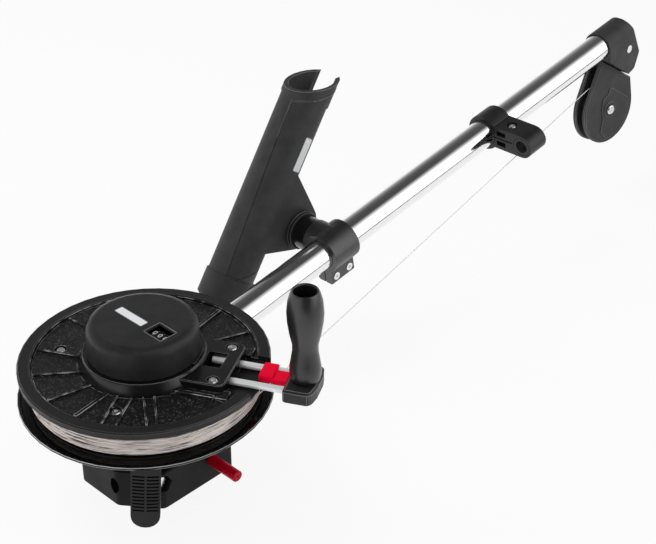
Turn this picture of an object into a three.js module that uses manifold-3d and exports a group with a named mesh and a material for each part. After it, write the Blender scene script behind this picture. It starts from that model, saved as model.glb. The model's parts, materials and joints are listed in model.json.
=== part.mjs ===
// A hand-cranked downrigger: a flat-lying cable spool on a base block, a steel boom with a
// hanging pulley, a rod holder and a release clamp on the boom, and a counter over the spool.
// Millimetres. X runs outboard along the boom, Y to its left and Z up. The origin lies on the
// spool's axis, in the face that the base stands on.
import * as THREE from 'three';
import { mergeVertices } from 'three/addons/utils/BufferGeometryUtils.js';
import Module from 'manifold-3d';

const wasm = await Module();
wasm.setup();

// shared play and facet counts
const fit = 0.3;
const running = 0.08;
const overrun = 2;
const facetSag = 0.25;
const runningSag = 0.06;
const degree = Math.PI / 180;
const arcStep = 20 * degree;
const nearPoint = 0.01;

// boom tube
const boomAngle = 10 * degree;
const boomOffset = 43.4;
const boomHeight = 60.4;
const tubeRadius = 15.875;
const tubeWall = 1.65;
const tubeStart = 45;
const tubeEnd = 782;

// spool
const crankAzimuth = -62 * degree;
const spoolTop = 138;
const spoolRadius = 109.2;
const rimDepth = 7;
const bandWidth = 11.2;
const recessDepth = 3.5;
const hubWebDepth = 10.5;
const edgeRound = 1.2;
const edgeBevel = 0.8;
const lowerRadius = 112.2;
const lowerSheet = 2.6;
const lipRadius = 1.8;
const lipFirst = -60;
const lipSweep = 240;
const flangeGap = 22.6;
const dishDrop = 5;
const drumRadius = 94;
const drumWall = 6;
const hubRadius = 21;
const bushWall = 2.5;
const bushLength = 9;
const bushFlange = 4;
const bushFlangeThickness = 2;

// wound cable
const wireRadius = 0.5;
const windingPitch = 1.5;
const windingLoops = 14;
const loopSteps = 24;
const wireSides = 6;
const runSides = 8;
const windingRadius = 99.8;

// ribs of the upper flange's recess, counted round the spool from the crank's arm: where each one
// starts and ends, its width, and the rise of the floor from it to the next one
const ribs = [
  { innerDegrees: 39, outerDegrees: 40, widthShare: 0.4, floorShare: 0.15 },
  { innerDegrees: 63, outerDegrees: 67, widthShare: 1, floorShare: 0.5 },
  { innerDegrees: 110, outerDegrees: 108, widthShare: 0.4, floorShare: 1 },
  { innerDegrees: 157, outerDegrees: 157, widthShare: 0.4, floorShare: 0.6 },
  { innerDegrees: 195, outerDegrees: 189, widthShare: 0.5, floorShare: 0.15 },
  { innerDegrees: 219, outerDegrees: 212, widthShare: 0.4, floorShare: 0.5 },
  { innerDegrees: 241, outerDegrees: 236, widthShare: 0.5, floorShare: 0.2 },
  { innerDegrees: 260, outerDegrees: 256, widthShare: 1, floorShare: 0.4 },
  { innerDegrees: 269, outerDegrees: 271, widthShare: 0.4, floorShare: 0.2 },
  { innerDegrees: 282, outerDegrees: 278, widthShare: 0.4, floorShare: 0.5 },
  { innerDegrees: 291, outerDegrees: 293, widthShare: 0.4, floorShare: 0.2 },
  { innerDegrees: 300, outerDegrees: 298, widthShare: 0.4, floorShare: 0.5 },
];
const lastFloor = { innerDegrees: 321, outerDegrees: 335 };
const floorStart = 47;
const ribStart = 57;
const ribEnd = 96;
const ribWidth = 3;
const ribRise = 1;
const floorRise = 1;
const padRise = 2.2;
const ridgeStart = 47;
const ridgeLength = 30;
const ridgeSide = 39;
const ridgeWidth = 3.4;
const ridgeRise = 1.2;

// crank plate and crank
const plateTop = 7.5;
const pocketDepth = 7;
const plateRadius = 53;
const plateFlare = 5;
const plateBore = 26;
const armLength = 83;
const armHalfWidth = 32;
const armCorner = 6;
const armTopDrop = 1.5;
const armPadMargin = 7;
const armPadReach = 88;
const rodRadius = 3.2;
const rodSpacing = 25.5;
const rodDrop = 1.3;
const rodInnerEnd = 58;
const rodTravel = 15;
const channelHalfWidth = 27.5;
const channelDepth = 5.3;
const windowStart = 55;
const windowLength = 17;
const windowLow = -8;
const windowHigh = 14;
const plateBarLength = 22;
const plateBarWidth = 3;
const plateBarHeight = 1.6;

// handle block and grip
const gripRadius = 145;
const gripInset = 14;
const blockStart = gripRadius - gripInset;
const blockDepth = 27;
const blockHalfWidth = 22.5;
const blockNose = 9;
const blockShoulder = 24.5;
const blockHeight = 13;
const blockBevel = 1.8;
const rodSocket = 12;
const gripHeight = 87;
const gripBulge = 15.7;
const gripBore = 9.8;
const gripBoreDepth = 58;
const gripBoreLipShare = 0.985;
// the grip's outline from its foot up, as shares of the bulge's radius and of the height
const gripOutlineShares = [
  [0.79, 0], [0.866, 0.05], [0.866, 0.14], [0.79, 0.22], [0.707, 0.32], [0.707, 0.4],
  [0.854, 0.52], [0.97, 0.66], [1, 0.76], [0.94, 0.88], [0.803, 0.97], [0.713, 1],
];

// crank lock, in the room between the crank plate and the handle block
const lockShare = 0.53;
const lockLength = lockShare * (blockStart - armLength);
const lockGap = 1;
const lockStart = blockStart - lockGap - lockLength;
const lockPadShare = 0.51;
const lockThickness = 5;
const lockPadRise = 1.2;
const lockReach = 4;

const spindleRadius = 5;
const spindleHead = 8;
const spindleHeadHeight = 4;
const spindleNeck = 1.8;

// flange and crank screws
const screwRadius = 2.5;
const screwHead = 4.6;
const screwHeadHeight = 2.4;
const screwSocket = 1.6;
const screwRecess = 5.6;
const screwLength = 9;
const screwCircle = 76;
const screwAngles = [186, 274, 90];
const armScrewReach = 71.5;
const armScrewSpacing = 50;

// axle, washer and nut
const axleRadius = 8;
const axleShoulder = 12;
const washerThickness = 2;
const washerRadius = 18;
const nutRadius = 13;
const nutHeight = 7;

// counter
const coverRadius = 49.5;
const coverTop = 37;
const coverWall = 2.5;
const coverShoulder = 8;
const coverGap = 0.6;
const coverDraft = 1;
const windowX = -1.2;
const windowY = -25.2;
const windowWidth = 16;
const windowSpan = 20;
const windowChamfer = 1.2;
const wheelRadius = 11;
const wheelWidth = 6;
const wheelGap = 0.5;
const wheelDrop = 1.2;
const wheelFlats = 10;
const shaftRadius = 1.6;
const bracketThickness = 2.4;
const bracketWidth = 14;
const postRadius = 7;

// base block
const baseBack = -47;
const baseFront = 62;
const baseRight = -40;
const baseLeft = 48;
const baseHeight = 40;
const baseCorner = 7;
const baseFloor = 12;
const baseWallThickness = 6;
const pocketRunX = 26;
const pocketRunY = 34;
const ovalHoleHeight = 18;
const ovalHoleWidth = 10;
const ovalHoleDepth = 11;
const ovalHoleY = -3;
const ovalHoleZ = 22;
const notchSize = 5;
const notchY = 43;
const notchZ = 29;
const hexSides = 6;
const hexRadius = 10;
const hexDepth = 9;
const hexX = -21;
const hexZ = 28;
const boltRadius = 4;
const boltHead = 7.2;
const boltHeadHeight = 4;
const boltLength = 22;

// reel frame
const columnRadius = 24;
const columnTop = 96;
const barrelRadius = 20;
const barrelStart = 32;
const barrelEnd = 96;
const frameFoot = 6;
const frameFootRadius = 37;
const frameRib = 10;
const boomBoltRadius = 3;
const boomBoltAt = 62;

// brake: thumb lever, pad and ring
const leverAzimuth = -133.5 * degree;
const leverLean = 4 * degree;
const leverPivotReach = 42;
const leverPivotHeight = 84;
const leverPinRadius = 3;
const leverReach = 77;
const leverThickness = 8;
const leverHalfWidth = 12.8;
const leverCrown = 1.6;
const leverTip = 9;
const leverArmHeight = 11;
const leverBoss = 7;
const leverBossHalfWidth = 9;
const leverSlots = 11;
const leverSlotPitch = 3.75;
const leverSlotHeight = 1.7;
const leverSlotDepth = 1.3;
const leverSlotWidth = 10.4;
const leverSlotFirst = 19;
const earThickness = 5;
const padLength = 10;
const padThickness = 3;
const padWidth = 14;
const padGap = 0.9;
const ringInner = 27;
const ringOuter = 40;
const ringThickness = 2.4;

// red pull pin of the base
const pinX = 36;
const pinZ = 24;
const pinRadius = 5.5;
const pinStem = 3;
const pinOut = 34.5;
const pinDepth = 26;
const pinHole = 1;
const pinCollar = 6.8;
const pinCollarLength = 3;
const springWire = 0.6;
const springTurns = 5;
const springSteps = 8;
const springSides = 4;

// rod-holder clamp on the boom, whose lead is from its end to the post's axis
const clampLead = 14.88006;
const clampLength = 35;
const clampRadius = 21.5;
const lugDepth = 37;
const lugHalfWidth = 10;
const lugSplit = 1.2;
const clampScrewSpacing = 19;
const clampScrewDrop = 29;
const clampScrewRadius = 2.6;
const clampScrewHead = 4.4;

// rod holder
const postX = 280;
const postRise = 113;
const postReach = 88;
const postAlong = postX * Math.cos(boomAngle) + (postRise - boomHeight) * Math.sin(boomAngle);
const postAcross = (postRise - boomHeight) * Math.cos(boomAngle) - postX * Math.sin(boomAngle);
const clampStart = postAlong - clampLead;
const stubRadius = 18;
const spigotRadius = 11;
const spigotLength = 15;
const lockRingRadius = 22;
const lockRingLength = 6;
const lockRingGroove = 1;
const holderTilt = 33.7 * degree;
const holderX = 322.5;
const holderY = 112;
const holderZ = 259;
const holderRadius = 24.7;
const holderWall = 3;
const holderLength = 243;
const holderFloor = 5;
const collarLength = 20;
const collarThickness = 1.2;
const footLength = 28;
const footThickness = 1.6;
const slotHalfWidth = 13;
const slotLength = 62;
const slotCorner = 4;
const webRadius = 25;
const webLift = 2.5;
const webDepth = 20;
const webHead = 88;
const webFoot = 183;
const panelTop = 8;
const panelFoot = 171;
const panelGroove = 0.9;
const panelGrooveDepth = 0.6;
// how far the side panel's long edges lie off the tube's middle plane, as shares of its radius
const panelTopShare = 0.17;
const panelFootShare = 0.48;

// release clamp on the boom
const releaseStart = 535;
const releaseLength = 27;
const releaseRing = 20.5;
const releaseReach = 52;
const releaseHalfHeight = 13.6;
const releaseSlit = 1.6;
const releaseScrewReach = 30;
const releasePocketDepth = 6;
const releasePocketHeight = 6;
const releasePocketWidth = 12;
const socketOuter = 10.4;
const socketInner = 7.4;
const releaseScrewHead = 4.6;
const releaseScrewRecess = 6;

// boom end cap and pulley
const capSeat = 27;
const capRadius = 18;
const capSteps = 12;
const capTopReach = 22;
const capTopRun = 4;
const capBrow = 9;
const capReach = 36.5;
const capNoseDrop = 31;
const capChinReach = 26;
const capChinDrop = 50.5;
const capJawReach = 13;
const capJawDrop = 53;
const capStart = tubeEnd - capSeat;
const capTopFront = tubeEnd + capTopReach;
const capFront = tubeEnd + capReach;
const capChin = tubeEnd + capChinReach;
const capJaw = tubeEnd + capJawReach;
const swivelTilt = 32 * degree;
// the swivel's foot, past the tube's end and below the tube's axis
const swivelLead = 0.462682353;
const swivelDrop = 41.605296828;
const swivelX = (tubeEnd + swivelLead) * Math.cos(boomAngle) + swivelDrop * Math.sin(boomAngle);
const swivelZ = boomHeight + (tubeEnd + swivelLead) * Math.sin(boomAngle)
  - swivelDrop * Math.cos(boomAngle);
const swivelTurn = -8 * degree;
const neckRadius = 8;
const neckGroove = 3.5;
const neckHeight = 33;
const crossPinRadius = 3;
const crossPinHeight = 27;
const crossPinHead = 5;
const capGap = 1;
const plateThickness = 5.4;
const plateSpace = 9.6;
const cheekRadius = 43.4;
const cheekEdge = 32.8;
const cheekBevel = 1.2;
const reliefHeight = 0.9;
// the raised field of the front cheek, in shares of its radius from the axle
const reliefShares = [
  [-0.37, 0.57], [-0.29, 0.39], [-0.42, 0.16], [-0.34, -0.06], [-0.1, -0.32], [0.06, -0.7],
  [0.37, -0.8], [0.72, -0.54], [0.88, -0.09], [0.77, 0.3], [0.58, 0.54],
];
const reliefCorner = 3;
const axleBoss = 10;
const bridgeHeight = 6.6;
const cableDrop = 20.2;
const cableEntry = 30;
const cableEntrySide = 1.4;
const sheavePitch = 32;
const sheaveLip = 4;
const sheaveWidth = 8.4;
const sheaveBore = 5;
const sheaveHub = 10;
const sheaveWeb = 4;
const sheaveHead = 6;
const sheaveHeadHeight = 2.5;
const wrapAngle = 150 * degree;

// solids

// merges shared vertices, drops flattened triangles and turns the faces outwards
function closed(geometry) {
  const bare = geometry.clone();
  bare.deleteAttribute('normal');
  bare.deleteAttribute('uv');
  const merged = mergeVertices(bare, 1e-4);
  const position = merged.attributes.position;
  const index = merged.index.array;
  const kept = [];
  let volume = 0;
  const a = new THREE.Vector3();
  const b = new THREE.Vector3();
  const c = new THREE.Vector3();
  for (let i = 0; i < index.length; i += 3) {
    const [p, q, r] = [index[i], index[i + 1], index[i + 2]];
    if (p === q || q === r || r === p) continue;
    kept.push(p, q, r);
    a.fromBufferAttribute(position, p);
    b.fromBufferAttribute(position, q);
    c.fromBufferAttribute(position, r);
    volume += a.dot(b.cross(c));
  }
  if (volume < 0) {
    for (let i = 0; i < kept.length; i += 3) {
      [kept[i], kept[i + 1]] = [kept[i + 1], kept[i]];
    }
  }
  merged.setIndex(kept);
  return merged;
}

function solid(geometry) {
  const merged = closed(geometry);
  return new wasm.Manifold(new wasm.Mesh({
    numProp: 3,
    vertProperties: new Float32Array(merged.attributes.position.array),
    triVerts: new Uint32Array(merged.index.array),
  }));
}

function geometryOf(manifold) {
  const mesh = manifold.getMesh();
  const geometry = new THREE.BufferGeometry();
  geometry.setAttribute('position', new THREE.BufferAttribute(mesh.vertProperties, 3));
  geometry.setIndex(new THREE.BufferAttribute(mesh.triVerts, 1));
  geometry.computeVertexNormals();
  return geometry;
}

function joined(first, ...rest) {
  return rest.reduce((whole, next) => whole.add(next), first);
}

function cut(first, ...rest) {
  return rest.reduce((whole, next) => whole.subtract(next), first);
}

// number of sides that keeps a round piece's flats within a sag of its true radius
function sidesFor(radius, sag = facetSag) {
  return 4 * Math.ceil(Math.PI / Math.acos(1 - Math.min(sag, radius / 2) / radius) / 4);
}

// sides of a bore that something turns in
function boreSides(radius) {
  return sidesFor(radius, runningSag);
}

// a solid of revolution round Z from [radius, height] points
function turned(points, segments = sidesFor(Math.max(...points.map(([r]) => r)))) {
  const profile = points.map(([r, z]) => new THREE.Vector2(r, z));
  const geometry = new THREE.LatheGeometry(profile, segments);
  geometry.rotateX(Math.PI / 2);
  return solid(geometry);
}

function ringProfile(inner, outer, low, high) {
  return [[inner, low], [outer, low], [outer, high], [inner, high], [inner, low]];
}

function ring(inner, outer, low, high, segments = sidesFor(outer)) {
  return turned(ringProfile(inner, outer, low, high), segments);
}

function rod(radius, low, high, segments = sidesFor(radius)) {
  return turned([[0, low], [radius, low], [radius, high], [0, high]], segments);
}

function moved(shape, x, y, z) {
  return shape.translate([x, y, z]);
}

// a rod along X or Y through the point, from one reach to the other
function rodX(radius, from, to, y, z, segments = sidesFor(radius)) {
  return moved(rod(radius, from, to, segments).rotate([0, 90, 0]), 0, y, z);
}

function rodY(radius, from, to, x, z, segments = sidesFor(radius)) {
  return moved(rod(radius, from, to, segments).rotate([-90, 0, 0]), x, 0, z);
}

function box(x0, x1, y0, y1, z0, z1) {
  const geometry = new THREE.BoxGeometry(x1 - x0, y1 - y0, z1 - z0);
  geometry.translate((x0 + x1) / 2, (y0 + y1) / 2, (z0 + z1) / 2);
  return solid(geometry);
}

function outline(points) {
  return new THREE.Shape(points.map(([x, y]) => new THREE.Vector2(x, y)));
}

// an outline with its corners rounded by arcs, each corner by its own radius
function roundedOutline(points, radii) {
  const out = [];
  const count = points.length;
  points.forEach((point, i) => {
    const here = new THREE.Vector2(...point);
    const back = new THREE.Vector2(...points[(i + count - 1) % count]).sub(here).normalize();
    const ahead = new THREE.Vector2(...points[(i + 1) % count]).sub(here).normalize();
    const radius = Array.isArray(radii) ? radii[i] : radii;
    const halfAngle = Math.acos(THREE.MathUtils.clamp(back.dot(ahead), -1, 1)) / 2;
    const middle = back.clone().add(ahead).normalize();
    const centre = here.clone().addScaledVector(middle, radius / Math.sin(halfAngle));
    const first = back.clone().multiplyScalar(radius / Math.tan(halfAngle)).add(here).sub(centre);
    const side = Math.sign(ahead.cross(back));
    const sweep = side * (Math.PI - 2 * halfAngle);
    const steps = Math.max(1, Math.ceil(Math.abs(sweep) / arcStep));
    for (let k = 0; k <= steps; k += 1) {
      const spot = first.clone().rotateAround(new THREE.Vector2(), sweep * (k / steps)).add(centre);
      const last = out[out.length - 1];
      if (!last || last.distanceTo(spot) > nearPoint) out.push(spot);
    }
  });
  if (out[0].distanceTo(out[out.length - 1]) < nearPoint) out.pop();
  return new THREE.Shape(out);
}

// an outline in X and Y given a height, with bevelled rims where a bevel is named
function raised(shape, low, high, bevel = 0, curveSegments = 5) {
  const geometry = new THREE.ExtrudeGeometry(shape, {
    depth: high - low - 2 * bevel,
    bevelEnabled: bevel > 0,
    bevelThickness: bevel,
    bevelSize: bevel,
    bevelOffset: -bevel,
    bevelSegments: 1,
    curveSegments,
    steps: 1,
  });
  geometry.translate(0, 0, low + bevel);
  return solid(geometry);
}

// an outline in X and Z given a width along Y, from one y to the other
function slab(shape, from, to, bevel = 0, curveSegments = 5) {
  const upright = raised(shape, -to, -from, bevel, curveSegments);
  return upright.rotate([90, 0, 0]);
}

// an outline in Y and Z given a length along X
function bar(shape, from, to, bevel = 0) {
  return raised(shape, from, to, bevel).rotate([90, 0, 90]);
}

// a closed tube through rings of points
function tubeThrough(rings) {
  const sides = rings[0].length;
  const points = [];
  const index = [];
  rings.forEach((loop) => loop.forEach((point) => points.push(point.x, point.y, point.z)));
  for (let i = 0; i + 1 < rings.length; i += 1) {
    for (let j = 0; j < sides; j += 1) {
      const next = (j + 1) % sides;
      const [a, b] = [i * sides + j, i * sides + next];
      index.push(a, b, a + sides, b, b + sides, a + sides);
    }
  }
  const last = (rings.length - 1) * sides;
  for (let j = 1; j + 1 < sides; j += 1) {
    index.push(0, j + 1, j);
    index.push(last, last + j, last + j + 1);
  }
  const geometry = new THREE.BufferGeometry();
  geometry.setAttribute('position', new THREE.Float32BufferAttribute(points, 3));
  geometry.setIndex(index);
  return closed(geometry);
}

// a ring of points round a centre, in the plane of two unit vectors
function section(centre, across, up, radius, sides) {
  return Array.from({ length: sides }, (_, j) => {
    const angle = (j / sides) * 2 * Math.PI;
    return centre.clone()
      .addScaledVector(across, radius * Math.cos(angle))
      .addScaledVector(up, radius * Math.sin(angle));
  });
}

// a helix of wire round Z, with its first and last sections upright and radial
function helix(radius, low, pitch, turns, steps, wire, sides, turnBack = 1) {
  const rings = [];
  const up = new THREE.Vector3(0, 0, 1);
  const count = Math.round(turns * steps);
  for (let i = 0; i <= count; i += 1) {
    const angle = turnBack * (i / steps) * 2 * Math.PI;
    const outward = new THREE.Vector3(Math.cos(angle), Math.sin(angle), 0);
    const centre = outward.clone().multiplyScalar(radius);
    centre.z = low + pitch * (i / steps);
    rings.push(section(centre, outward, up, wire, sides));
  }
  return rings;
}

// materials

function material(colour, roughness, metalness = 0) {
  return new THREE.MeshStandardMaterial({ color: colour, roughness, metalness });
}
const finish = {
  blackPlastic: () => material(0x1d1e20, 0.55),
  greyPlastic: () => material(0x2b2c2e, 0.6),
  glossBlack: () => material(0x0b0b0c, 0.12),
  redPlastic: () => material(0xc8102e, 0.35),
  steel: () => material(0xc9cbcd, 0.18, 1),
  brightSteel: () => material(0xdadcde, 0.1, 1),
  cable: () => material(0xb9b5ab, 0.35, 0.9),
  bronze: () => material(0x9c7a45, 0.4, 0.8),
  rubber: () => material(0x111111, 0.85),
  whitePlastic: () => material(0xe8e6e0, 0.5),
};

const group = new THREE.Group();
const boom = new THREE.Group();
boom.position.set(0, boomOffset, boomHeight);
boom.rotation.y = -boomAngle;
const spool = new THREE.Group();
spool.position.set(0, 0, spoolTop);
spool.rotation.z = crankAzimuth;
const brake = new THREE.Group();
brake.rotation.z = leverAzimuth;
group.add(boom, spool, brake);

function piece(parent, name, shape, look) {
  const geometry = shape instanceof THREE.BufferGeometry ? shape : geometryOf(shape);
  const mesh = new THREE.Mesh(geometry, look);
  mesh.name = name;
  parent.add(mesh);
  return mesh;
}

// spool
// heights in the spool's own frame are measured from the upper flange's rim, so they are
// negative below it

const webTop = -recessDepth;
const webBottom = -hubWebDepth;
const rimBottom = -rimDepth;
const recessRadius = spoolRadius - bandWidth;
const drumTop = rimBottom;
const drumBottom = rimBottom - flangeGap;
const dishBottom = drumBottom - dishDrop;
const hubInner = axleRadius + bushWall + fit;
const plateFloor = -pocketDepth + fit;
const armTop = plateTop - armTopDrop;
const rodHeight = -rodDrop;
const rodOffset = rodSpacing / 2;

// the outline that the crank plate is let into the flange with
function keyhole(low, high) {
  const half = armHalfWidth + fit;
  const end = armLength + fit;
  const arm = raised(roundedOutline([[0, -half], [end, -half], [end, half], [0, half]],
    [edgeRound, armCorner, armCorner, edgeRound]), low, high);
  return joined(rod(plateRadius + plateFlare + fit, low, high), arm);
}

function spoke(radius, degrees) {
  return [radius * Math.cos(degrees * degree), radius * Math.sin(degrees * degree)];
}

// a rib from its inner end to its outer one, standing on the recess's floor
function ribSolid({ innerDegrees, outerDegrees, widthShare }) {
  const [x0, y0] = spoke(ribStart, innerDegrees);
  const [x1, y1] = spoke(ribEnd, outerDegrees);
  const length = Math.hypot(x1 - x0, y1 - y0);
  const half = widthShare * ribWidth / 2;
  const strip = box(0, length, -half, half, webTop - edgeRound, webTop + floorRise + ribRise);
  const heading = Math.atan2(y1 - y0, x1 - x0) / degree;
  return strip.rotate([0, 0, heading]).translate([x0, y0, 0]);
}

// the floor between one rib and the next
function floorPad(rib, i) {
  const next = ribs[i + 1] ?? lastFloor;
  const outer = Math.ceil((next.outerDegrees - rib.outerDegrees) * degree / arcStep);
  const arc = Array.from({ length: outer + 1 }, (_, k) => spoke(recessRadius,
    rib.outerDegrees + (next.outerDegrees - rib.outerDegrees) * (k / outer)));
  const shape = outline([
    spoke(floorStart, rib.innerDegrees), ...arc,
    spoke(floorStart, next.innerDegrees),
  ]);
  return raised(shape, webTop - edgeRound, webTop + rib.floorShare * floorRise);
}

function screwPlaces() {
  return screwAngles.map((angle) => [
    screwCircle * Math.cos(angle * degree), screwCircle * Math.sin(angle * degree),
  ]);
}

function armScrewPlaces() {
  return [-1, 1].map((side) => [armScrewReach, side * armScrewSpacing / 2]);
}

function rodBores(from, to, play) {
  return [-1, 1].map((side) => rodX(rodRadius + play, from, to, side * rodOffset, rodHeight,
    boreSides(rodRadius)));
}

function upperFlange() {
  const disc = turned([
    [hubRadius + fit, webBottom], [drumRadius - drumWall - fit, webBottom],
    [drumRadius - drumWall - fit, rimBottom], [spoolRadius - edgeRound, rimBottom],
    [spoolRadius, rimBottom + edgeRound], [spoolRadius, -edgeRound],
    [spoolRadius - edgeRound, 0], [recessRadius + edgeRound, 0],
    [recessRadius, -edgeRound], [recessRadius, webTop], [hubRadius + fit, webTop],
    [hubRadius + fit, webBottom],
  ]);
  const halfPad = armHalfWidth + armPadMargin;
  const armPad = box(0, armPadReach, -halfPad, halfPad, webTop - edgeRound, webTop + padRise);
  const ridge = box(ridgeStart, ridgeStart + ridgeLength, -ridgeSide - ridgeWidth / 2,
    -ridgeSide + ridgeWidth / 2, webTop - edgeRound, webTop + padRise + ridgeRise);
  const padSpan = ring(hubRadius + fit + edgeRound, recessRadius - edgeRound, webBottom, 0);
  const pads = joined(armPad, ridge, ...ribs.map(floorPad), ...ribs.map(ribSolid))
    .intersect(padSpan);
  const pocket = keyhole(-pocketDepth, overrun);
  const channel = box(armPadReach - armLength, spoolRadius + overrun,
    -channelHalfWidth, channelHalfWidth, -channelDepth, overrun);
  const holes = screwPlaces().map(([x, y]) => moved(joined(
    rod(screwRadius + fit, webBottom - overrun, 0),
    rod(screwRecess, webTop - screwHeadHeight, overrun),
  ), x, y, 0));
  const armHoles = armScrewPlaces().map(([x, y]) => moved(
    rod(screwRadius + fit, webBottom - overrun, 0), x, y, 0));
  const reach = cut(channel, rod(armLength, -hubWebDepth, overrun + fit));
  return cut(joined(disc, pads), pocket, reach, ...holes, ...armHoles);
}

function lowerFlange() {
  const lipCentre = lowerRadius - lipRadius;
  const lipHeight = dishBottom + lipRadius - lowerSheet / 2;
  const lipSteps = 5;
  const lip = Array.from({ length: lipSteps + 1 }, (_, i) => {
    const angle = (lipFirst + (i / lipSteps) * lipSweep) * degree;
    return [lipCentre + lipRadius * Math.cos(angle), lipHeight + lipRadius * Math.sin(angle)];
  });
  const fall = windingRadius + 2 * wireRadius;
  return turned([
    [hubRadius + fit, drumBottom - lowerSheet], [fall, drumBottom - lowerSheet],
    [lipCentre - lipRadius / 2, dishBottom - lowerSheet], ...lip,
    [fall, drumBottom], [hubRadius + fit, drumBottom],
    [hubRadius + fit, drumBottom - lowerSheet],
  ]);
}

function spoolHub() {
  const low = drumBottom - lowerSheet;
  const high = webTop - pocketDepth;
  return turned([
    [hubInner, low], [hubRadius, low], [hubRadius, drumBottom + fit],
    [hubRadius + bushWall, drumBottom + fit], [hubRadius + bushWall, webBottom - fit],
    [hubRadius, webBottom - fit], [hubRadius, high], [hubInner, high], [hubInner, low],
  ]);
}

function bush(low, flangeLow) {
  const inner = axleRadius + running;
  const outer = axleRadius + bushWall;
  const sides = boreSides(inner);
  return joined(
    ring(inner, outer, low, low + bushLength, sides),
    ring(inner, outer + bushFlange, flangeLow, flangeLow + bushFlangeThickness, sides),
  );
}

function headedScrew(length, radius, head, headHeight) {
  const socket = rod(screwSocket, headHeight / 2, headHeight + overrun, 6);
  return cut(turned([
    [0, -length], [radius, -length], [radius, 0], [head, 0], [head, headHeight / 2],
    [(head + screwSocket) / 2, headHeight], [0, headHeight],
  ]), socket);
}

function spoolPieces() {
  piece(spool, 'upper_flange', upperFlange(), finish.blackPlastic());
  piece(spool, 'lower_flange', lowerFlange(), finish.glossBlack());
  piece(spool, 'spool_hub', spoolHub(), finish.blackPlastic());
  piece(spool, 'spool_drum', ring(drumRadius - drumWall, drumRadius - fit,
    drumBottom + fit, drumTop - fit), finish.blackPlastic());
  const hubLow = drumBottom - lowerSheet;
  piece(spool, 'lower_bushing', bush(hubLow - fit, hubLow - fit - bushFlangeThickness),
    finish.bronze());
  const hubHigh = webTop - pocketDepth;
  piece(spool, 'upper_bushing', bush(hubHigh + fit - bushLength, hubHigh + fit),
    finish.bronze());
  screwPlaces().forEach(([x, y], i) => {
    const screw = headedScrew(screwLength - fit, screwRadius, screwHead, screwHeadHeight);
    const mesh = piece(spool, `flange_screw_${i + 1}`, screw, finish.brightSteel());
    mesh.position.set(x, y, webTop - screwHeadHeight + fit);
  });
}

// wound cable

// least distance between the surfaces of neighbouring turns, measured on the points
function leastGap(rings, steps) {
  let least = Infinity;
  for (let i = 0; i + steps < rings.length; i += 1) {
    for (let k = i + steps - 1; k <= Math.min(i + steps + 1, rings.length - 1); k += 1) {
      rings[i].forEach((p) => rings[k].forEach((q) => {
        least = Math.min(least, p.distanceTo(q));
      }));
    }
  }
  return least;
}

function cablePieces() {
  const half = Math.PI / loopSteps;
  const coreRadius = (windingRadius * Math.cos(half)) - wireRadius - fit;
  piece(spool, 'cable_core', ring(drumRadius, coreRadius, drumBottom + fit, drumTop - fit),
    finish.cable());
  const height = windingPitch * windingLoops;
  const low = (drumTop + drumBottom - height) / 2;
  const rings = helix(windingRadius, low, windingPitch, windingLoops, loopSteps,
    wireRadius, wireSides);
  console.log('least gap between turns of the winding', leastGap(rings, loopSteps).toFixed(3));
  piece(spool, 'cable_winding', tubeThrough(rings), finish.cable());
}

// crank

function crankPlate() {
  const bossTop = plateRadius;
  const boss = turned([
    [plateBore, plateFloor], [plateRadius + plateFlare, plateFloor],
    [plateRadius + plateFlare, -recessDepth], [bossTop + edgeRound, plateTop - edgeRound],
    [bossTop, plateTop], [plateBore, plateTop], [plateBore, plateFloor],
  ]);
  const half = armHalfWidth;
  const arm = raised(roundedOutline([
    [plateBore + plateFlare, -half], [armLength, -half], [armLength, half],
    [plateBore + plateFlare, half],
  ], [edgeRound, armCorner, armCorner, edgeRound]), plateFloor, armTop, edgeBevel);
  const bores = rodBores(rodInnerEnd - rodTravel - overrun, armLength + overrun, running);
  const window = box(windowStart, windowStart + windowLength, windowLow, windowHigh,
    rodHeight - rodRadius, plateTop + overrun);
  const barAt = windowStart - plateBarWidth - edgeRound;
  const raisedBar = box(barAt - plateBarWidth, barAt, -plateBarLength / 2, plateBarLength / 2,
    armTop - edgeRound, plateTop + plateBarHeight);
  const holes = armScrewPlaces().map(([x, y]) => moved(joined(
    rod(screwRadius + fit, plateFloor - overrun, armTop),
    rod(screwRecess, armTop - screwHeadHeight, armTop + overrun),
  ), x, y, 0));
  const coverRoom = ring(coverRadius + fit, coverRadius + plateFlare + bandWidth,
    plateTop - fit, plateTop + plateBarHeight + overrun);
  const barTrimmed = raisedBar.intersect(coverRoom);
  return cut(joined(boss, arm, barTrimmed), window, ...bores, ...holes);
}

// the lock clasps the left rod: a thumb pad over the rod and a lower block behind it
function lockSolid() {
  const end = lockStart + lockLength;
  const padEnd = lockStart + lockPadShare * lockLength;
  const low = rodHeight - lockThickness / 2;
  const rodTop = rodHeight + rodRadius;
  const outer = rodOffset + rodRadius + fit;
  const pad = raised(roundedOutline([
    [lockStart, -lockReach], [padEnd, -lockReach], [padEnd, outer], [lockStart, outer],
  ], edgeRound), low, rodTop + lockPadRise, edgeRound / 2);
  const block = raised(roundedOutline([
    [padEnd - edgeRound, -lockReach - edgeRound], [end, -lockReach - edgeRound],
    [end, rodOffset - rodRadius - running], [padEnd - edgeRound, rodOffset - rodRadius - running],
  ], edgeRound), low, rodTop, edgeRound / 2);
  const bore = rodX(rodRadius + running, lockStart - overrun, end + overrun,
    rodOffset, rodHeight, boreSides(rodRadius));
  const under = box(lockStart - overrun, end + overrun, rodOffset - rodRadius - running,
    outer + overrun, low - overrun, rodHeight);
  return cut(joined(pad, block), bore, under);
}

const blockLow = rodHeight - blockHeight / 2;
const blockHigh = rodHeight + blockHeight / 2;

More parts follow.
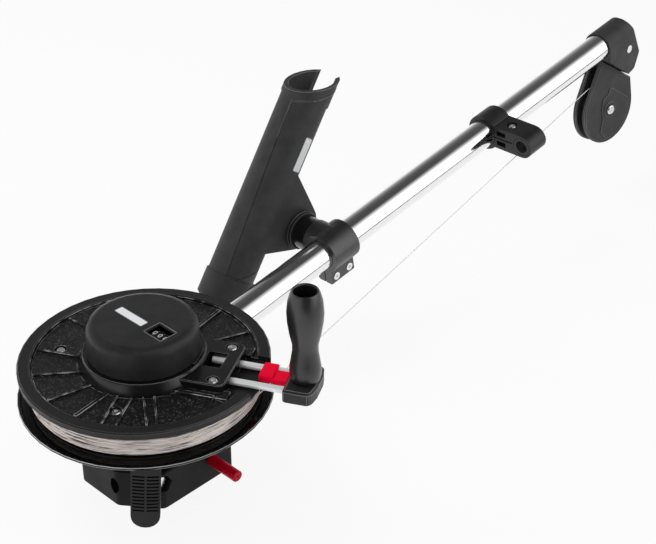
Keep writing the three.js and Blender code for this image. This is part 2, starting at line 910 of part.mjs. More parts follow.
function blockOutline() {
  const shoulder = blockStart + blockShoulder;
  return roundedOutline([
    [blockStart, -blockHalfWidth], [shoulder, -blockHalfWidth],
    [blockStart + blockDepth, -blockNose], [blockStart + blockDepth, blockNose],
    [shoulder, blockHalfWidth], [blockStart, blockHalfWidth],
  ], [2 * edgeRound, armCorner, armCorner, armCorner, armCorner, 2 * edgeRound]);
}

function handleBlock() {
  const body = raised(blockOutline(), blockLow, blockHigh, blockBevel);
  const bores = rodBores(blockStart - overrun, blockStart + rodSocket, fit / 3);
  const spindleHole = moved(rod(spindleRadius - spindleNeck + fit, blockLow - overrun,
    blockHigh + overrun), gripRadius, 0, 0);
  return cut(body, ...bores, spindleHole);
}

// spindle: a bolt from above whose plain neck carries the grip
function gripSpindle() {
  const base = blockHigh + fit;
  const top = base + gripHeight - gripBoreDepth;
  const tail = spindleRadius - spindleNeck;
  return moved(turned([
    [0, blockLow], [tail, blockLow], [tail, base], [spindleRadius, base],
    [spindleRadius, top + fit], [spindleHead, top + fit],
    [spindleHead, top + fit + spindleHeadHeight / 2],
    [spindleHead - edgeRound, top + fit + spindleHeadHeight], [0, top + fit + spindleHeadHeight],
  ]), gripRadius, 0, 0);
}

function crankGrip() {
  const base = blockHigh + 2 * fit;
  const floor = base + gripHeight - gripBoreDepth;
  const bore = spindleRadius + running;
  const outside = gripOutlineShares.map(([radiusShare, heightShare]) => [
    radiusShare * gripBulge, base + heightShare * gripHeight,
  ]);
  const profile = [
    [bore, base], ...outside, [gripBore, base + gripBoreLipShare * gripHeight],
    [gripBore, floor], [bore, floor], [bore, base],
  ];
  return moved(turned(profile, boreSides(gripBulge / 2)), gripRadius, 0, 0);
}

function crankPieces() {
  piece(spool, 'crank_plate', crankPlate(), finish.blackPlastic());
  armScrewPlaces().forEach(([x, y], i) => {
    const screw = headedScrew(screwLength + pocketDepth - fit, screwRadius, screwHead,
      screwHeadHeight);
    const mesh = piece(spool, `crank_screw_${i + 1}`, screw, finish.brightSteel());
    mesh.position.set(x, y, armTop - screwHeadHeight + fit);
  });
  ['right', 'left'].forEach((side, i) => {
    const y = (i === 0 ? -1 : 1) * rodOffset;
    piece(spool, `crank_rod_${side}`, rodX(rodRadius, rodInnerEnd, blockStart + rodSocket - fit,
      y, rodHeight, boreSides(rodRadius)), finish.brightSteel());
  });
  piece(spool, 'crank_lock', lockSolid(), finish.redPlastic());
  piece(spool, 'handle_block', handleBlock(), finish.blackPlastic());
  piece(spool, 'grip_spindle', gripSpindle(), finish.steel());
  piece(spool, 'crank_grip', crankGrip(), finish.blackPlastic());
}

// axle and counter
// heights here are over the mounting face

const hubBottom = spoolTop + drumBottom - lowerSheet - fit - bushFlangeThickness;
const hubTop = spoolTop + webTop - pocketDepth + fit + bushFlangeThickness;
const coverBottom = spoolTop + plateTop + coverGap;
const coverHigh = spoolTop + coverTop;

function spoolAxle() {
  const seat = hubBottom - fit - washerThickness;
  return turned([
    [0, baseHeight + frameFoot], [axleShoulder, baseHeight + frameFoot],
    [axleShoulder, seat - fit], [axleRadius, seat - fit],
    [axleRadius, hubTop + fit + nutHeight], [postRadius, hubTop + fit + nutHeight],
    [postRadius, coverBottom], [0, coverBottom],
  ]);
}

function counterFrame() {
  const low = coverBottom + fit;
  const length = 3 * wheelWidth + 4 * wheelGap;
  const near = windowY + length / 2 + bracketThickness;
  const far = windowY - length / 2 - bracketThickness;
  const axis = coverHigh - coverWall - wheelDrop - wheelRadius;
  const half = bracketWidth / 2;
  const floor = joined(
    box(windowX - half, windowX + half, far, axleRadius, low, low + bracketThickness),
    moved(rod(axleRadius + bracketThickness, low, low + bracketThickness), 0, 0, 0),
  );
  const sides = [near - bracketThickness, far].map((y) => box(windowX - half, windowX + half,
    y, y + bracketThickness, low, axis + 2 * shaftRadius));
  const holes = rodY(shaftRadius + running, far - overrun, near + overrun, windowX, axis);
  return cut(joined(floor, ...sides), holes);
}

function counterWheel(place) {
  const length = 3 * wheelWidth + 4 * wheelGap;
  const start = windowY + length / 2 - wheelGap - place * (wheelWidth + wheelGap);
  const axis = coverHigh - coverWall - wheelDrop - wheelRadius;
  const wheel = rodY(wheelRadius, start - wheelWidth, start, windowX, axis, 2 * wheelFlats);
  const bore = rodY(shaftRadius + running, start - wheelWidth - overrun, start + overrun,
    windowX, axis, boreSides(shaftRadius));
  return cut(wheel, bore);
}

function counterCover() {
  const inner = coverRadius - coverWall;
  const bend = coverShoulder * (1 - Math.SQRT1_2);
  const shell = turned([
    [coverRadius, coverBottom], [coverRadius - coverDraft, coverHigh - coverShoulder],
    [coverRadius - coverDraft - bend, coverHigh - bend],
    [coverRadius - coverDraft - coverShoulder, coverHigh], [0, coverHigh],
    [0, coverHigh - coverWall], [inner - coverDraft - coverShoulder, coverHigh - coverWall],
    [inner - coverDraft, coverHigh - coverShoulder], [inner, coverBottom],
    [coverRadius, coverBottom],
  ]);
  const halfX = windowWidth / 2;
  const halfY = windowSpan / 2;
  const opening = box(windowX - halfX, windowX + halfX, windowY - halfY, windowY + halfY,
    coverHigh - coverWall - overrun, coverHigh + overrun);
  const flareOut = moved(raised(outline([
    [-halfX - windowChamfer, -halfY - windowChamfer], [halfX + windowChamfer, -halfY - windowChamfer],
    [halfX + windowChamfer, halfY + windowChamfer], [-halfX - windowChamfer, halfY + windowChamfer],
  ]), coverHigh - windowChamfer / 2, coverHigh + overrun), windowX, windowY, 0);
  const boss = rod(postRadius, coverBottom + bracketThickness + 2 * fit, coverHigh - edgeRound);
  return cut(joined(shell, boss), opening, flareOut);
}

function axlePieces() {
  piece(group, 'spool_axle', spoolAxle(), finish.steel());
  const seat = hubBottom - fit - washerThickness;
  piece(group, 'thrust_washer', ring(axleRadius + fit, washerRadius, seat,
    seat + washerThickness), finish.steel());
  piece(group, 'axle_nut', cut(rod(nutRadius, hubTop + fit, hubTop + fit + nutHeight, 6),
    rod(axleRadius + fit, hubTop, hubTop + nutHeight + overrun)), finish.steel());
  piece(group, 'counter_frame', counterFrame(), finish.greyPlastic());
  const length = 3 * wheelWidth + 4 * wheelGap;
  const axis = coverHigh - coverWall - wheelDrop - wheelRadius;
  piece(group, 'counter_shaft', rodY(shaftRadius, windowY - length / 2 - bracketThickness,
    windowY + length / 2 + bracketThickness, windowX, axis), finish.steel());
  ['hundreds', 'tens', 'units'].forEach((name, i) => {
    piece(group, `counter_wheel_${name}`, counterWheel(i), finish.whitePlastic());
  });
  piece(group, 'counter_cover', counterCover(), finish.blackPlastic());
}

// base and reel frame

// a hexagon along Y at the bolt's place, with corners to the front and back
function hexY(radius, from, to) {
  const upright = rod(radius, from, to, hexSides).rotate([0, 0, 180 / hexSides]);
  return moved(upright.rotate([-90, 0, 0]), hexX, 0, hexZ);
}

function baseHousing() {
  const plan = roundedOutline([
    [baseBack, baseLeft], [baseBack, baseRight + pocketRunY],
    [baseBack + pocketRunX, baseRight], [baseFront, baseRight], [baseFront, baseLeft],
  ], [baseCorner, baseCorner, baseCorner, baseCorner / 2, baseCorner / 2]);
  const block = raised(plan, 0, baseHeight, edgeRound);
  const wall = baseWallThickness;
  const middleX = (baseBack + pocketRunX + baseFront) / 2;
  const hollows = [
    [baseBack + wall, -wall, wall, baseLeft - wall],
    [wall, baseFront - wall, wall, baseLeft - wall],
    [wall, middleX - wall / 2, baseRight + wall, -wall],
    [middleX + wall / 2, baseFront - wall, baseRight + wall, -wall],
  ].map(([x0, x1, y0, y1]) => box(x0, x1, y0, y1, -overrun, baseFloor));
  const oval = new THREE.Shape();
  oval.absellipse(ovalHoleY, ovalHoleZ, ovalHoleWidth / 2, ovalHoleHeight / 2, 0, 2 * Math.PI);
  const ovalHole = bar(oval, baseBack - overrun, baseBack + ovalHoleDepth);
  const notch = box(baseBack - overrun, baseBack + ovalHoleDepth, notchY - notchSize / 2,
    notchY + notchSize / 2, notchZ - notchSize / 2, notchZ + notchSize / 2);
  const hexRecess = hexY(hexRadius, baseRight - overrun, baseRight + hexDepth);
  const boltHole = rodY(boltRadius + fit, baseRight, baseRight + hexDepth + boltLength,
    hexX, hexZ);
  const pinBore = rodY(pinRadius + running, baseRight - overrun,
    baseRight + pinDepth, pinX, pinZ);
  const pinWide = rodY(pinCollar + 2 * running, baseRight + 2 * pinCollarLength,
    baseRight + pinDepth + overrun, pinX, pinZ);
  return cut(block, ...hollows, ovalHole, notch, hexRecess, boltHole, pinBore, pinWide);
}

function reelFrame() {
  const foot = moved(raised(roundedOutline([
    [-frameFootRadius, -frameFootRadius + armCorner], [frameFootRadius, -frameFootRadius + armCorner],
    [frameFootRadius, baseLeft - edgeRound], [-frameFootRadius, baseLeft - edgeRound],
  ], armCorner), baseHeight + fit, baseHeight + frameFoot, 0), 0, 0, 0);
  const column = turned([
    [0, baseHeight + frameFoot - edgeRound], [columnRadius + edgeRound, baseHeight + frameFoot - edgeRound],
    [columnRadius, baseHeight + 2 * frameFoot], [columnRadius - edgeRound, columnTop], [0, columnTop],
  ]);
  const barrelLocal = rodX(barrelRadius, barrelStart, barrelEnd, 0, 0)
    .rotate([0, -boomAngle / degree, 0]);
  const barrel = moved(barrelLocal, 0, boomOffset, boomHeight);
  const midX = (barrelStart + barrelEnd) / 2;
  const rib = (x, thickness) => box(x - thickness / 2, x + thickness / 2, -columnRadius / 2,
    boomOffset, baseHeight + frameFoot - edgeRound, boomHeight + midX * Math.sin(boomAngle));
  const shelf = box(-columnRadius / 2, midX, 0, boomOffset, boomHeight - frameRib / 2,
    boomHeight + frameRib / 2);
  const gusset = slab(outline([
    [0, baseHeight + frameFoot - edgeRound], [frameFootRadius, baseHeight + frameFoot - edgeRound],
    [barrelEnd - armCorner, boomHeight + barrelEnd * Math.sin(boomAngle)], [0, boomHeight],
  ]), boomOffset - frameRib / 2, boomOffset + frameRib / 2);
  const ears = [-1, 1].map((side) => {
    const from = side > 0 ? leverBossHalfWidth + fit : -leverBossHalfWidth - fit - earThickness;
    const lug = slab(roundedOutline([
      [columnRadius / 2, leverPivotHeight - 2 * leverBoss],
      [leverPivotReach + leverBoss, leverPivotHeight - leverBoss],
      [leverPivotReach + leverBoss, leverPivotHeight + leverBoss],
      [columnRadius / 2, leverPivotHeight + leverBoss],
    ], [edgeRound, armCorner, armCorner, edgeRound]), from, from + earThickness);
    return lug.rotate([0, 0, leverAzimuth / degree]);
  });
  const tubeBore = moved(rodX(tubeRadius + fit, tubeStart - fit, barrelEnd + overrun, 0, 0)
    .rotate([0, -boomAngle / degree, 0]), 0, boomOffset, boomHeight);
  const axleBore = rod(axleShoulder + fit, baseHeight + frameFoot - fit, columnTop + overrun);
  const pinBore = rodY(leverPinRadius + fit / 3, -leverHalfWidth - earThickness - overrun,
    leverHalfWidth + earThickness + overrun, leverPivotReach, leverPivotHeight)
    .rotate([0, 0, leverAzimuth / degree]);
  const boltBore = moved(rod(boomBoltRadius + fit, -barrelRadius - overrun,
    barrelRadius + overrun).translate([boomBoltAt, 0, 0]).rotate([0, -boomAngle / degree, 0]),
  0, boomOffset, boomHeight);
  const body = joined(foot, column, barrel, rib(0, 2 * frameRib), shelf, gusset, ...ears);
  return cut(body, tubeBore, axleBore, pinBore, boltBore);
}

function basePieces() {
  piece(group, 'base_housing', baseHousing(), finish.blackPlastic());
  piece(group, 'reel_frame', reelFrame(), finish.blackPlastic());
  const head = hexY(boltHead, baseRight + hexDepth - boltHeadHeight - fit,
    baseRight + hexDepth - fit);
  const shank = rodY(boltRadius, baseRight + hexDepth - boltHeadHeight,
    baseRight + hexDepth + boltLength - overrun, hexX, hexZ);
  piece(group, 'base_bolt', joined(head, shank), finish.brightSteel());
}

// red pull pin: grip outside, stem inside and a collar that the spring pushes inwards
function pinPieces() {
  const face = baseRight;
  const outer = rodY(pinRadius, face - pinOut, face + pinCollarLength, pinX, pinZ);
  const stem = rodY(pinStem, face + pinCollarLength - fit, face + pinDepth - fit, pinX, pinZ);
  const collarFrom = face + pinDepth - pinCollarLength - fit;
  const collar = rodY(pinCollar, collarFrom, face + pinDepth - fit, pinX, pinZ);
  const hole = rodY(pinHole, face - pinOut - overrun, face - pinOut + pinCollarLength, pinX, pinZ, 8);
  piece(group, 'release_pin', cut(joined(outer, stem, collar), hole), finish.redPlastic());
  const low = face + 2 * pinCollarLength + fit + springWire;
  const high = collarFrom - fit - springWire;
  const rings = helix((pinStem + pinCollar) / 2, 0, (high - low) / springTurns, springTurns,
    springSteps, springWire, springSides);
  const spring = tubeThrough(rings);
  spring.rotateX(-Math.PI / 2);
  spring.translate(pinX, low, pinZ);
  piece(group, 'pin_spring', spring, finish.steel());
}

// brake
// in the brake's own frame X runs outwards from the spool's axis

function thumbLever() {
  const inner = leverReach - leverThickness;
  const top = leverPivotHeight + leverArmHeight / 2;
  const face = bar(roundedOutline([
    [-leverHalfWidth, leverTip], [leverHalfWidth, leverTip], [leverHalfWidth, top],
    [-leverHalfWidth, top],
  ], [leverHalfWidth, leverHalfWidth, edgeRound, edgeRound]), inner, leverReach, edgeBevel);
  const crown = new THREE.Shape();
  crown.moveTo(inner - overrun, -leverHalfWidth - overrun);
  crown.lineTo(leverReach - leverCrown, -leverHalfWidth - overrun);
  crown.quadraticCurveTo(leverReach + leverCrown, 0, leverReach - leverCrown,
    leverHalfWidth + overrun);
  crown.lineTo(inner - overrun, leverHalfWidth + overrun);
  crown.closePath();
  const middle = (top + leverTip) / 2;
  const leaning = (shape) => moved(moved(shape, 0, 0, -middle)
    .rotate([-leverLean / degree, 0, 0]), 0, 0, middle);
  const arm = box(leverPivotReach, inner + edgeRound, -leverBossHalfWidth, leverBossHalfWidth,
    leverPivotHeight - leverArmHeight / 2, top);
  const boss = rodY(leverBoss, -leverBossHalfWidth, leverBossHalfWidth, leverPivotReach,
    leverPivotHeight);
  const noseTop = ringHeight - padGap - padThickness - fit;
  const nose = box(ringInner, leverPivotReach, -padWidth / 2, padWidth / 2,
    leverPivotHeight, noseTop);
  const pinBore = rodY(leverPinRadius + running, -leverBossHalfWidth - overrun,
    leverBossHalfWidth + overrun, leverPivotReach, leverPivotHeight, boreSides(leverPinRadius));
  const slots = [];
  for (let row = 0; row < leverSlots; row += 1) {
    const z = leverTip + leverSlotFirst + row * leverSlotPitch;
    [-1, 1].forEach((side) => {
      const near = side > 0 ? leverSlotHeight / 2 : -leverSlotHeight / 2 - leverSlotWidth;
      slots.push(box(leverReach - leverCrown - leverSlotDepth, leverReach + overrun, near,
        near + leverSlotWidth, z, z + leverSlotHeight));
    });
  }
  const paddle = leaning(cut(face.intersect(raised(crown, 0, top + overrun)), ...slots));
  return cut(joined(paddle, arm, boss, nose), pinBore);
}

const ringHeight = spoolTop + drumBottom - lowerSheet - fit - ringThickness;

function brakePieces() {
  piece(brake, 'thumb_lever', thumbLever(), finish.greyPlastic());
  const padTop = ringHeight - padGap;
  piece(brake, 'brake_pad', box(ringInner, ringInner + padLength, -padWidth / 2, padWidth / 2,
    padTop - padThickness, padTop), finish.rubber());
  piece(brake, 'lever_pin', rodY(leverPinRadius, -leverBossHalfWidth - fit - earThickness,
    leverBossHalfWidth + fit + earThickness, leverPivotReach, leverPivotHeight), finish.steel());
  piece(spool, 'brake_ring', ring(ringInner, ringOuter, ringHeight - spoolTop,
    ringHeight - spoolTop + ringThickness), finish.steel());
}

// boom
// in the boom's own frame X runs along the tube and the tube's axis is at Y = Z = 0

function rodClamp() {
  const end = clampStart + clampLength;
  const barrel = rodX(clampRadius, clampStart, end, 0, 0);
  const lugs = bar(roundedOutline([
    [-lugHalfWidth, 0], [-lugHalfWidth, -lugDepth], [lugHalfWidth, -lugDepth], [lugHalfWidth, 0],
  ], [edgeRound, 2 * edgeRound, 2 * edgeRound, edgeRound]), clampStart + edgeRound,
  end - edgeRound, 0);
  const boss = rodY(stubRadius + edgeRound, 0, clampRadius, postAlong, postAcross);
  const bore = rodX(tubeRadius + fit, clampStart - clampRadius, end + clampRadius, 0, 0);
  const split = box(clampStart - overrun, end + overrun, -lugSplit / 2, lugSplit / 2,
    -lugDepth - overrun, 0);
  const middle = clampStart + clampLength / 2;
  const holes = [-1, 1].flatMap((side) => {
    const x = middle + side * clampScrewSpacing / 2;
    return [
      rodY(clampScrewRadius + fit, -clampRadius, clampRadius, x, -clampScrewDrop),
      rodY(clampScrewHead + fit, -clampRadius, -lugHalfWidth + clampScrewHead / 2,
        x, -clampScrewDrop),
    ];
  });
  return cut(joined(barrel, lugs, boss), bore, split, ...holes);
}

function clampScrew(x) {
  const headFloor = -lugHalfWidth + clampScrewHead / 2 - fit;
  const shank = rodY(clampScrewRadius, headFloor - fit, lugHalfWidth, x, -clampScrewDrop);
  const head = rodY(clampScrewHead, -lugHalfWidth - edgeRound / 2, headFloor, x, -clampScrewDrop);
  const socket = rodY(screwSocket, -lugHalfWidth - overrun, -lugHalfWidth + edgeRound,
    x, -clampScrewDrop, 6);
  return cut(joined(shank, head), socket);
}

function releaseClamp() {
  const end = releaseStart + releaseLength;
  const barrel = rodX(releaseRing, releaseStart, end, 0, 0);
  const arm = box(releaseStart, end, -releaseReach, 0, -releaseHalfHeight, releaseHalfHeight);
  const round = rodX(releaseHalfHeight, releaseStart, end, -releaseReach, 0);
  const bore = rodX(tubeRadius + fit, releaseStart - overrun, end + overrun, 0, 0);
  const socket = rodX(socketOuter + fit, releaseStart - overrun, end + overrun, -releaseReach,
    0);
  const slitEnd = releaseReach - socketOuter - 2 * edgeRound;
  const slit = box(releaseStart - overrun, end + overrun, -slitEnd, 0, -releaseSlit / 2,
    releaseSlit / 2);
  const pocketNear = -tubeRadius - 2 * edgeRound;
  const pockets = [-1, 1].flatMap((side) => {
    const z0 = side > 0 ? 2 * releaseSlit : -2 * releaseSlit - releasePocketHeight;
    const pocket = (from) => box(from, from + releasePocketDepth, pocketNear - releasePocketWidth,
      pocketNear, z0, z0 + releasePocketHeight);
    return [pocket(releaseStart - fit), pocket(end + fit - releasePocketDepth)];
  });
  const middle = releaseStart + releaseLength / 2;
  const screwHole = moved(joined(
    rod(clampScrewRadius + fit, -releaseHalfHeight - overrun, releaseHalfHeight),
    rod(releaseScrewRecess, releaseHalfHeight - screwHeadHeight - edgeRound,
      releaseHalfHeight + overrun),
  ), middle, -releaseScrewReach, 0);
  return cut(joined(barrel, arm, round), bore, socket, slit, ...pockets, screwHole);
}

// end cap: an arch-shaped moulding over the tube, with a nose that holds the swivel neck
function endCap(neck) {
  const arch = new THREE.Shape();
  arch.absarc(0, 0, capRadius, 0, Math.PI, false);
  arch.lineTo(-capRadius, -capJawDrop - overrun);
  arch.lineTo(capRadius, -capJawDrop - overrun);
  arch.closePath();
  const length = raised(arch, capStart, capFront + overrun, 0, capSteps).rotate([90, 0, 90]);
  const profile = slab(roundedOutline([
    [capStart, capRadius], [capStart, -capRadius], [capJaw, -capJawDrop],
    [capChin, -capChinDrop], [capFront, -capNoseDrop], [capTopFront, capBrow],
    [capTopFront - capTopRun, capRadius],
  ], [edgeRound, edgeRound, edgeRound, armCorner, armCorner, armCorner, edgeRound]),
  -capRadius, capRadius, edgeBevel);
  const bore = rodX(tubeRadius + fit, capStart - overrun, tubeEnd + fit, 0, 0);
  return cut(length.intersect(profile), bore, ...neck);
}

function boomPieces() {
  piece(boom, 'boom_tube', cut(
    rodX(tubeRadius, tubeStart, tubeEnd, 0, 0),
    rodX(tubeRadius - tubeWall, tubeStart - overrun, tubeEnd + overrun, 0, 0),
    moved(rod(boomBoltRadius + fit, -barrelRadius, barrelRadius), boomBoltAt, 0, 0),
  ), finish.brightSteel());
  const bolt = moved(joined(
    rod(boomBoltRadius, -barrelRadius, barrelRadius + fit),
    rod(2 * boomBoltRadius, -barrelRadius - boomBoltRadius, -barrelRadius - fit, 6),
  ).add(rod(boomBoltRadius, -barrelRadius - 2 * fit, 0)), boomBoltAt, 0, 0);
  piece(boom, 'boom_bolt', bolt, finish.steel());
  piece(boom, 'rod_clamp', rodClamp(), finish.blackPlastic());
  const middle = clampStart + clampLength / 2;
  [-1, 1].forEach((side, i) => {
    piece(boom, `rod_clamp_screw_${i + 1}`, clampScrew(middle + side * clampScrewSpacing / 2),
      finish.brightSteel());
  });
  piece(boom, 'release_clamp', releaseClamp(), finish.blackPlastic());
  const releaseMiddle = releaseStart + releaseLength / 2;
  const screw = headedScrew(2 * releaseHalfHeight - screwHeadHeight - 2 * edgeRound,
    clampScrewRadius, releaseScrewHead, screwHeadHeight);
  const mesh = piece(boom, 'release_clamp_screw', screw, finish.brightSteel());
  mesh.position.set(releaseMiddle, -releaseScrewReach,
    releaseHalfHeight - screwHeadHeight - edgeRound + fit);
  piece(boom, 'release_socket', cut(
    rodX(socketOuter, releaseStart, releaseStart + releaseLength, -releaseReach, 0),
    rodX(socketInner, releaseStart - overrun, releaseStart + releaseLength + overrun,
      -releaseReach, 0),
  ), finish.greyPlastic());
}

// rod holder

function holderPieces() {
  const post = new THREE.Group();
  post.position.set(postX, 0, postRise);
  group.add(post);
  const seat = boomOffset + clampRadius + fit;
  const ringFrom = postReach - lockRingLength;
  piece(post, 'rod_holder_post', joined(
    rodY(stubRadius, seat, ringFrom - fit, 0, 0),
    rodY(spigotRadius, ringFrom - 2 * fit, postReach + spigotLength, 0, 0),
  ), finish.blackPlastic());
  const grooved = [];
  const grooves = 2;
  const step = lockRingLength / grooves;
  for (let i = 0; i < grooves; i += 1) {
    const low = ringFrom + i * step;
    grooved.push([lockRingRadius - lockRingGroove * (2 - i), low]);
    grooved.push([lockRingRadius - lockRingGroove * (2 - i), low + step / 2]);
    grooved.push([lockRingRadius - lockRingGroove * (3 - i), low + step / 2]);
    grooved.push([lockRingRadius - lockRingGroove * (3 - i), low + step - fit]);
  }
  const inner = spigotRadius + fit;
  const ringSolid = turned([
    [inner, ringFrom], ...grooved, [inner, postReach - fit], [inner, ringFrom],
  ]);
  piece(post, 'holder_lock_ring', ringSolid.rotate([-90, 0, 0]), finish.rubber());

  const along = -holderLength;
  const outer = holderRadius;
  const inside = holderRadius - holderWall;
  const body = turned([
    [0, along], [outer + footThickness - 2 * edgeRound, along],
    [outer + footThickness, along + 2 * edgeRound], [outer + footThickness, along + footLength],
    [outer, along + footLength + edgeRound], [outer, -collarLength - edgeRound],
    [outer + collarThickness, -collarLength + edgeRound], [outer + collarThickness, outer],
    [0, outer],
  ]);
  const bore = rod(inside, along + holderFloor, outer + overrun);
  const slot = raised(roundedOutline([
    [-slotLength, -slotHalfWidth], [outer - slotCorner, -slotHalfWidth],
    [outer + overrun, -slotHalfWidth - slotCorner], [outer + overrun, slotHalfWidth + slotCorner],
    [outer - slotCorner, slotHalfWidth], [-slotLength, slotHalfWidth],
  ], [slotHalfWidth, slotCorner, 0, 0, slotCorner, slotHalfWidth]), 0, outer + 2 * overrun, 0)
    .rotate([0, -90, 0]).rotate([0, 0, 180]);
  const shiftX = holderX - postX;
  const shiftZ = holderZ - postRise;
  const place = (shape) => shape.rotate([0, holderTilt / degree, 0])
    .translate([shiftX, holderY, shiftZ]);
  const mouth = box(-4 * outer, 4 * outer, holderY - 2 * outer, holderY + 2 * outer,
    shiftZ, shiftZ + 4 * outer);
  const socket = rodY(spigotRadius + running, postReach - overrun,
    postReach + spigotLength + fit, 0, 0, boreSides(spigotRadius));
  const panelLine = cut(panelRoom(0), panelRoom(panelGroove))
    .intersect(ring(outer - panelGrooveDepth, outer + overrun, along + footLength, outer));
  const tube = cut(body, panelLine);
  const holder = cut(joined(place(tube), holderWeb(shiftX, shiftZ)), place(bore), place(slot),
    mouth, socket);
  piece(post, 'rod_holder', holder, finish.greyPlastic());
}

// the flat web that carries the socket, flush with the tube's near side
function holderWeb(shiftX, shiftZ) {
  const onAxis = (reach) => [
    shiftX - reach * Math.sin(holderTilt), shiftZ - reach * Math.cos(holderTilt),
  ];
  const steps = sidesFor(webRadius);
  const round = Array.from({ length: steps }, (_, i) => {
    const angle = (i / steps) * 2 * Math.PI;
    return [webRadius * Math.cos(angle), webLift + webRadius * Math.sin(angle)];
  });
  const points = [...round, onAxis(webHead), onAxis(webFoot)];
  return slab(outline(hull(points)), postReach, postReach + webDepth);
}

// the side panel's room in the tube's own frame: level ends and two long edges that spread
// towards the foot, all drawn in by an inset
function panelRoom(inset) {
  const reach = 2 * holderRadius;
  const [top, foot] = [panelTop, panelFoot].map((drop) => -drop / Math.cos(holderTilt));
  const spread = (panelFootShare - panelTopShare) * holderRadius / (top - foot);
  const side = (z) => -panelTopShare * holderRadius - spread * (top - z) - inset;
  const wedge = bar(outline([
    [-reach, foot - reach], [side(foot - reach), foot - reach],
    [side(top + reach), top + reach], [-reach, top + reach],
  ]), -reach, reach);
  const level = box(-holderLength, holderLength, -reach, reach, inset - panelFoot,
    -panelTop - inset).rotate([0, -holderTilt / degree, 0]);
  return wedge.intersect(level);
}

// pulley
// in the pulley's own frame Z is the swivel's axis, up into the end cap, and X runs along
// the cheeks' straight top edge

const swivel = new THREE.Group();
swivel.position.set(swivelX, boomOffset, swivelZ);
swivel.rotation.order = 'ZYX';
swivel.rotation.y = swivelTilt;
const pulley = new THREE.Group();
pulley.rotation.z = swivelTurn;
swivel.add(pulley);
group.add(swivel);

const sheaveX = sheavePitch * Math.sin(swivelTilt);
const sheaveZ = -cableDrop - sheavePitch * Math.cos(swivelTilt);

function cheek(from, to) {
  const steps = sidesFor(cheekRadius, facetSag / 2);
  const circle = Array.from({ length: steps }, (_, i) => {
    const angle = (i / steps) * 2 * Math.PI;
    return [sheaveX + cheekRadius * Math.cos(angle), sheaveZ + cheekRadius * Math.sin(angle)];
  });
  return slab(outline(hull([...circle, [-cheekEdge, 0], [cheekEdge, 0]])), from, to, cheekBevel);
}

// the convex outline of a set of points
function hull(points) {
  const sorted = [...points].sort((a, b) => a[0] - b[0] || a[1] - b[1]);
  const turn = (o, a, b) => (a[0] - o[0]) * (b[1] - o[1]) - (a[1] - o[1]) * (b[0] - o[0]);
  const chain = (list) => {
    const out = [];
    list.forEach((p) => {
      while (out.length > 1 && turn(out[out.length - 2], out[out.length - 1], p) <= 0) out.pop();
      out.push(p);
    });
    out.pop();
    return out;
  };
  return [...chain(sorted), ...chain([...sorted].reverse())];
}

function pulleyNeck() {
  const half = plateSpace / 2;
  const grooveHalf = crossPinRadius + fit;
  const bridge = box(-cheekEdge + cheekBevel, cheekEdge - cheekBevel, -half + fit, half - fit,
    -bridgeHeight, 0);
  const neck = turned([
    [0, -bridgeHeight / 2], [neckRadius, -bridgeHeight / 2 + half],
    [neckRadius, crossPinHeight - grooveHalf], [neckGroove, crossPinHeight - grooveHalf],
    [neckGroove, crossPinHeight + grooveHalf], [neckRadius, crossPinHeight + grooveHalf],
    [neckRadius, neckHeight - edgeRound], [neckRadius - edgeRound, neckHeight], [0, neckHeight],
  ]);
  const top = box(-cheekRadius, cheekRadius, -cheekRadius, cheekRadius, fit / 3, 2 * neckHeight);
  return joined(bridge, neck.intersect(top), rod(half - 2 * fit, -bridgeHeight / 2, 2 * fit));
}

function sheaveSolid() {
  const half = sheaveWidth / 2;
  const rim = sheavePitch + sheaveLip;
  const groove = sheavePitch - wireRadius - fit;
  return turned([
    [sheaveBore + running, -half], [sheaveHub, -half], [sheaveHub, -sheaveWeb / 2],
    [groove - 2 * sheaveLip, -sheaveWeb / 2], [groove - sheaveLip / 2, -half],
    [rim, edgeRound - half], [groove, -wireRadius], [groove, wireRadius],
    [rim, half - edgeRound], [groove - sheaveLip / 2, half],
    [groove - 2 * sheaveLip, sheaveWeb / 2], [sheaveHub, sheaveWeb / 2], [sheaveHub, half],
    [sheaveBore + running, half], [sheaveBore + running, -half],
  ]).rotate([90, 0, 0]).translate([sheaveX, 0, sheaveZ]);
}

function sheaveAxle() {
  const outer = plateSpace / 2 + plateThickness;
  const seat = -outer - 2 * reliefHeight - fit;
  return moved(turned([
    [0, -outer + fit], [sheaveBore, -outer + fit], [sheaveBore, -seat], [sheaveHead, -seat],
    [sheaveHead, sheaveHeadHeight / 2 - seat], [sheaveHead - edgeRound, sheaveHeadHeight - seat],
    [0, sheaveHeadHeight - seat],
  ], boreSides(sheaveBore)).rotate([90, 0, 0]), sheaveX, 0, sheaveZ);
}

// the cable's end lies on the sheave, from its top over to the far side
function cableWrap() {
  const steps = 18;
  const rings = [];
  const side = new THREE.Vector3(0, 1, 0);
  const top = swivelTilt + Math.PI / 2;
  for (let i = 0; i <= steps; i += 1) {
    const angle = top - fit / sheavePitch - wrapAngle * (i / steps);
    const outward = new THREE.Vector3(Math.cos(angle), 0, Math.sin(angle));
    const centre = new THREE.Vector3(sheaveX, 0, sheaveZ).addScaledVector(outward, sheavePitch);
    rings.push(section(centre, outward, side, wireRadius, wireSides));
  }
  return tubeThrough(rings);
}

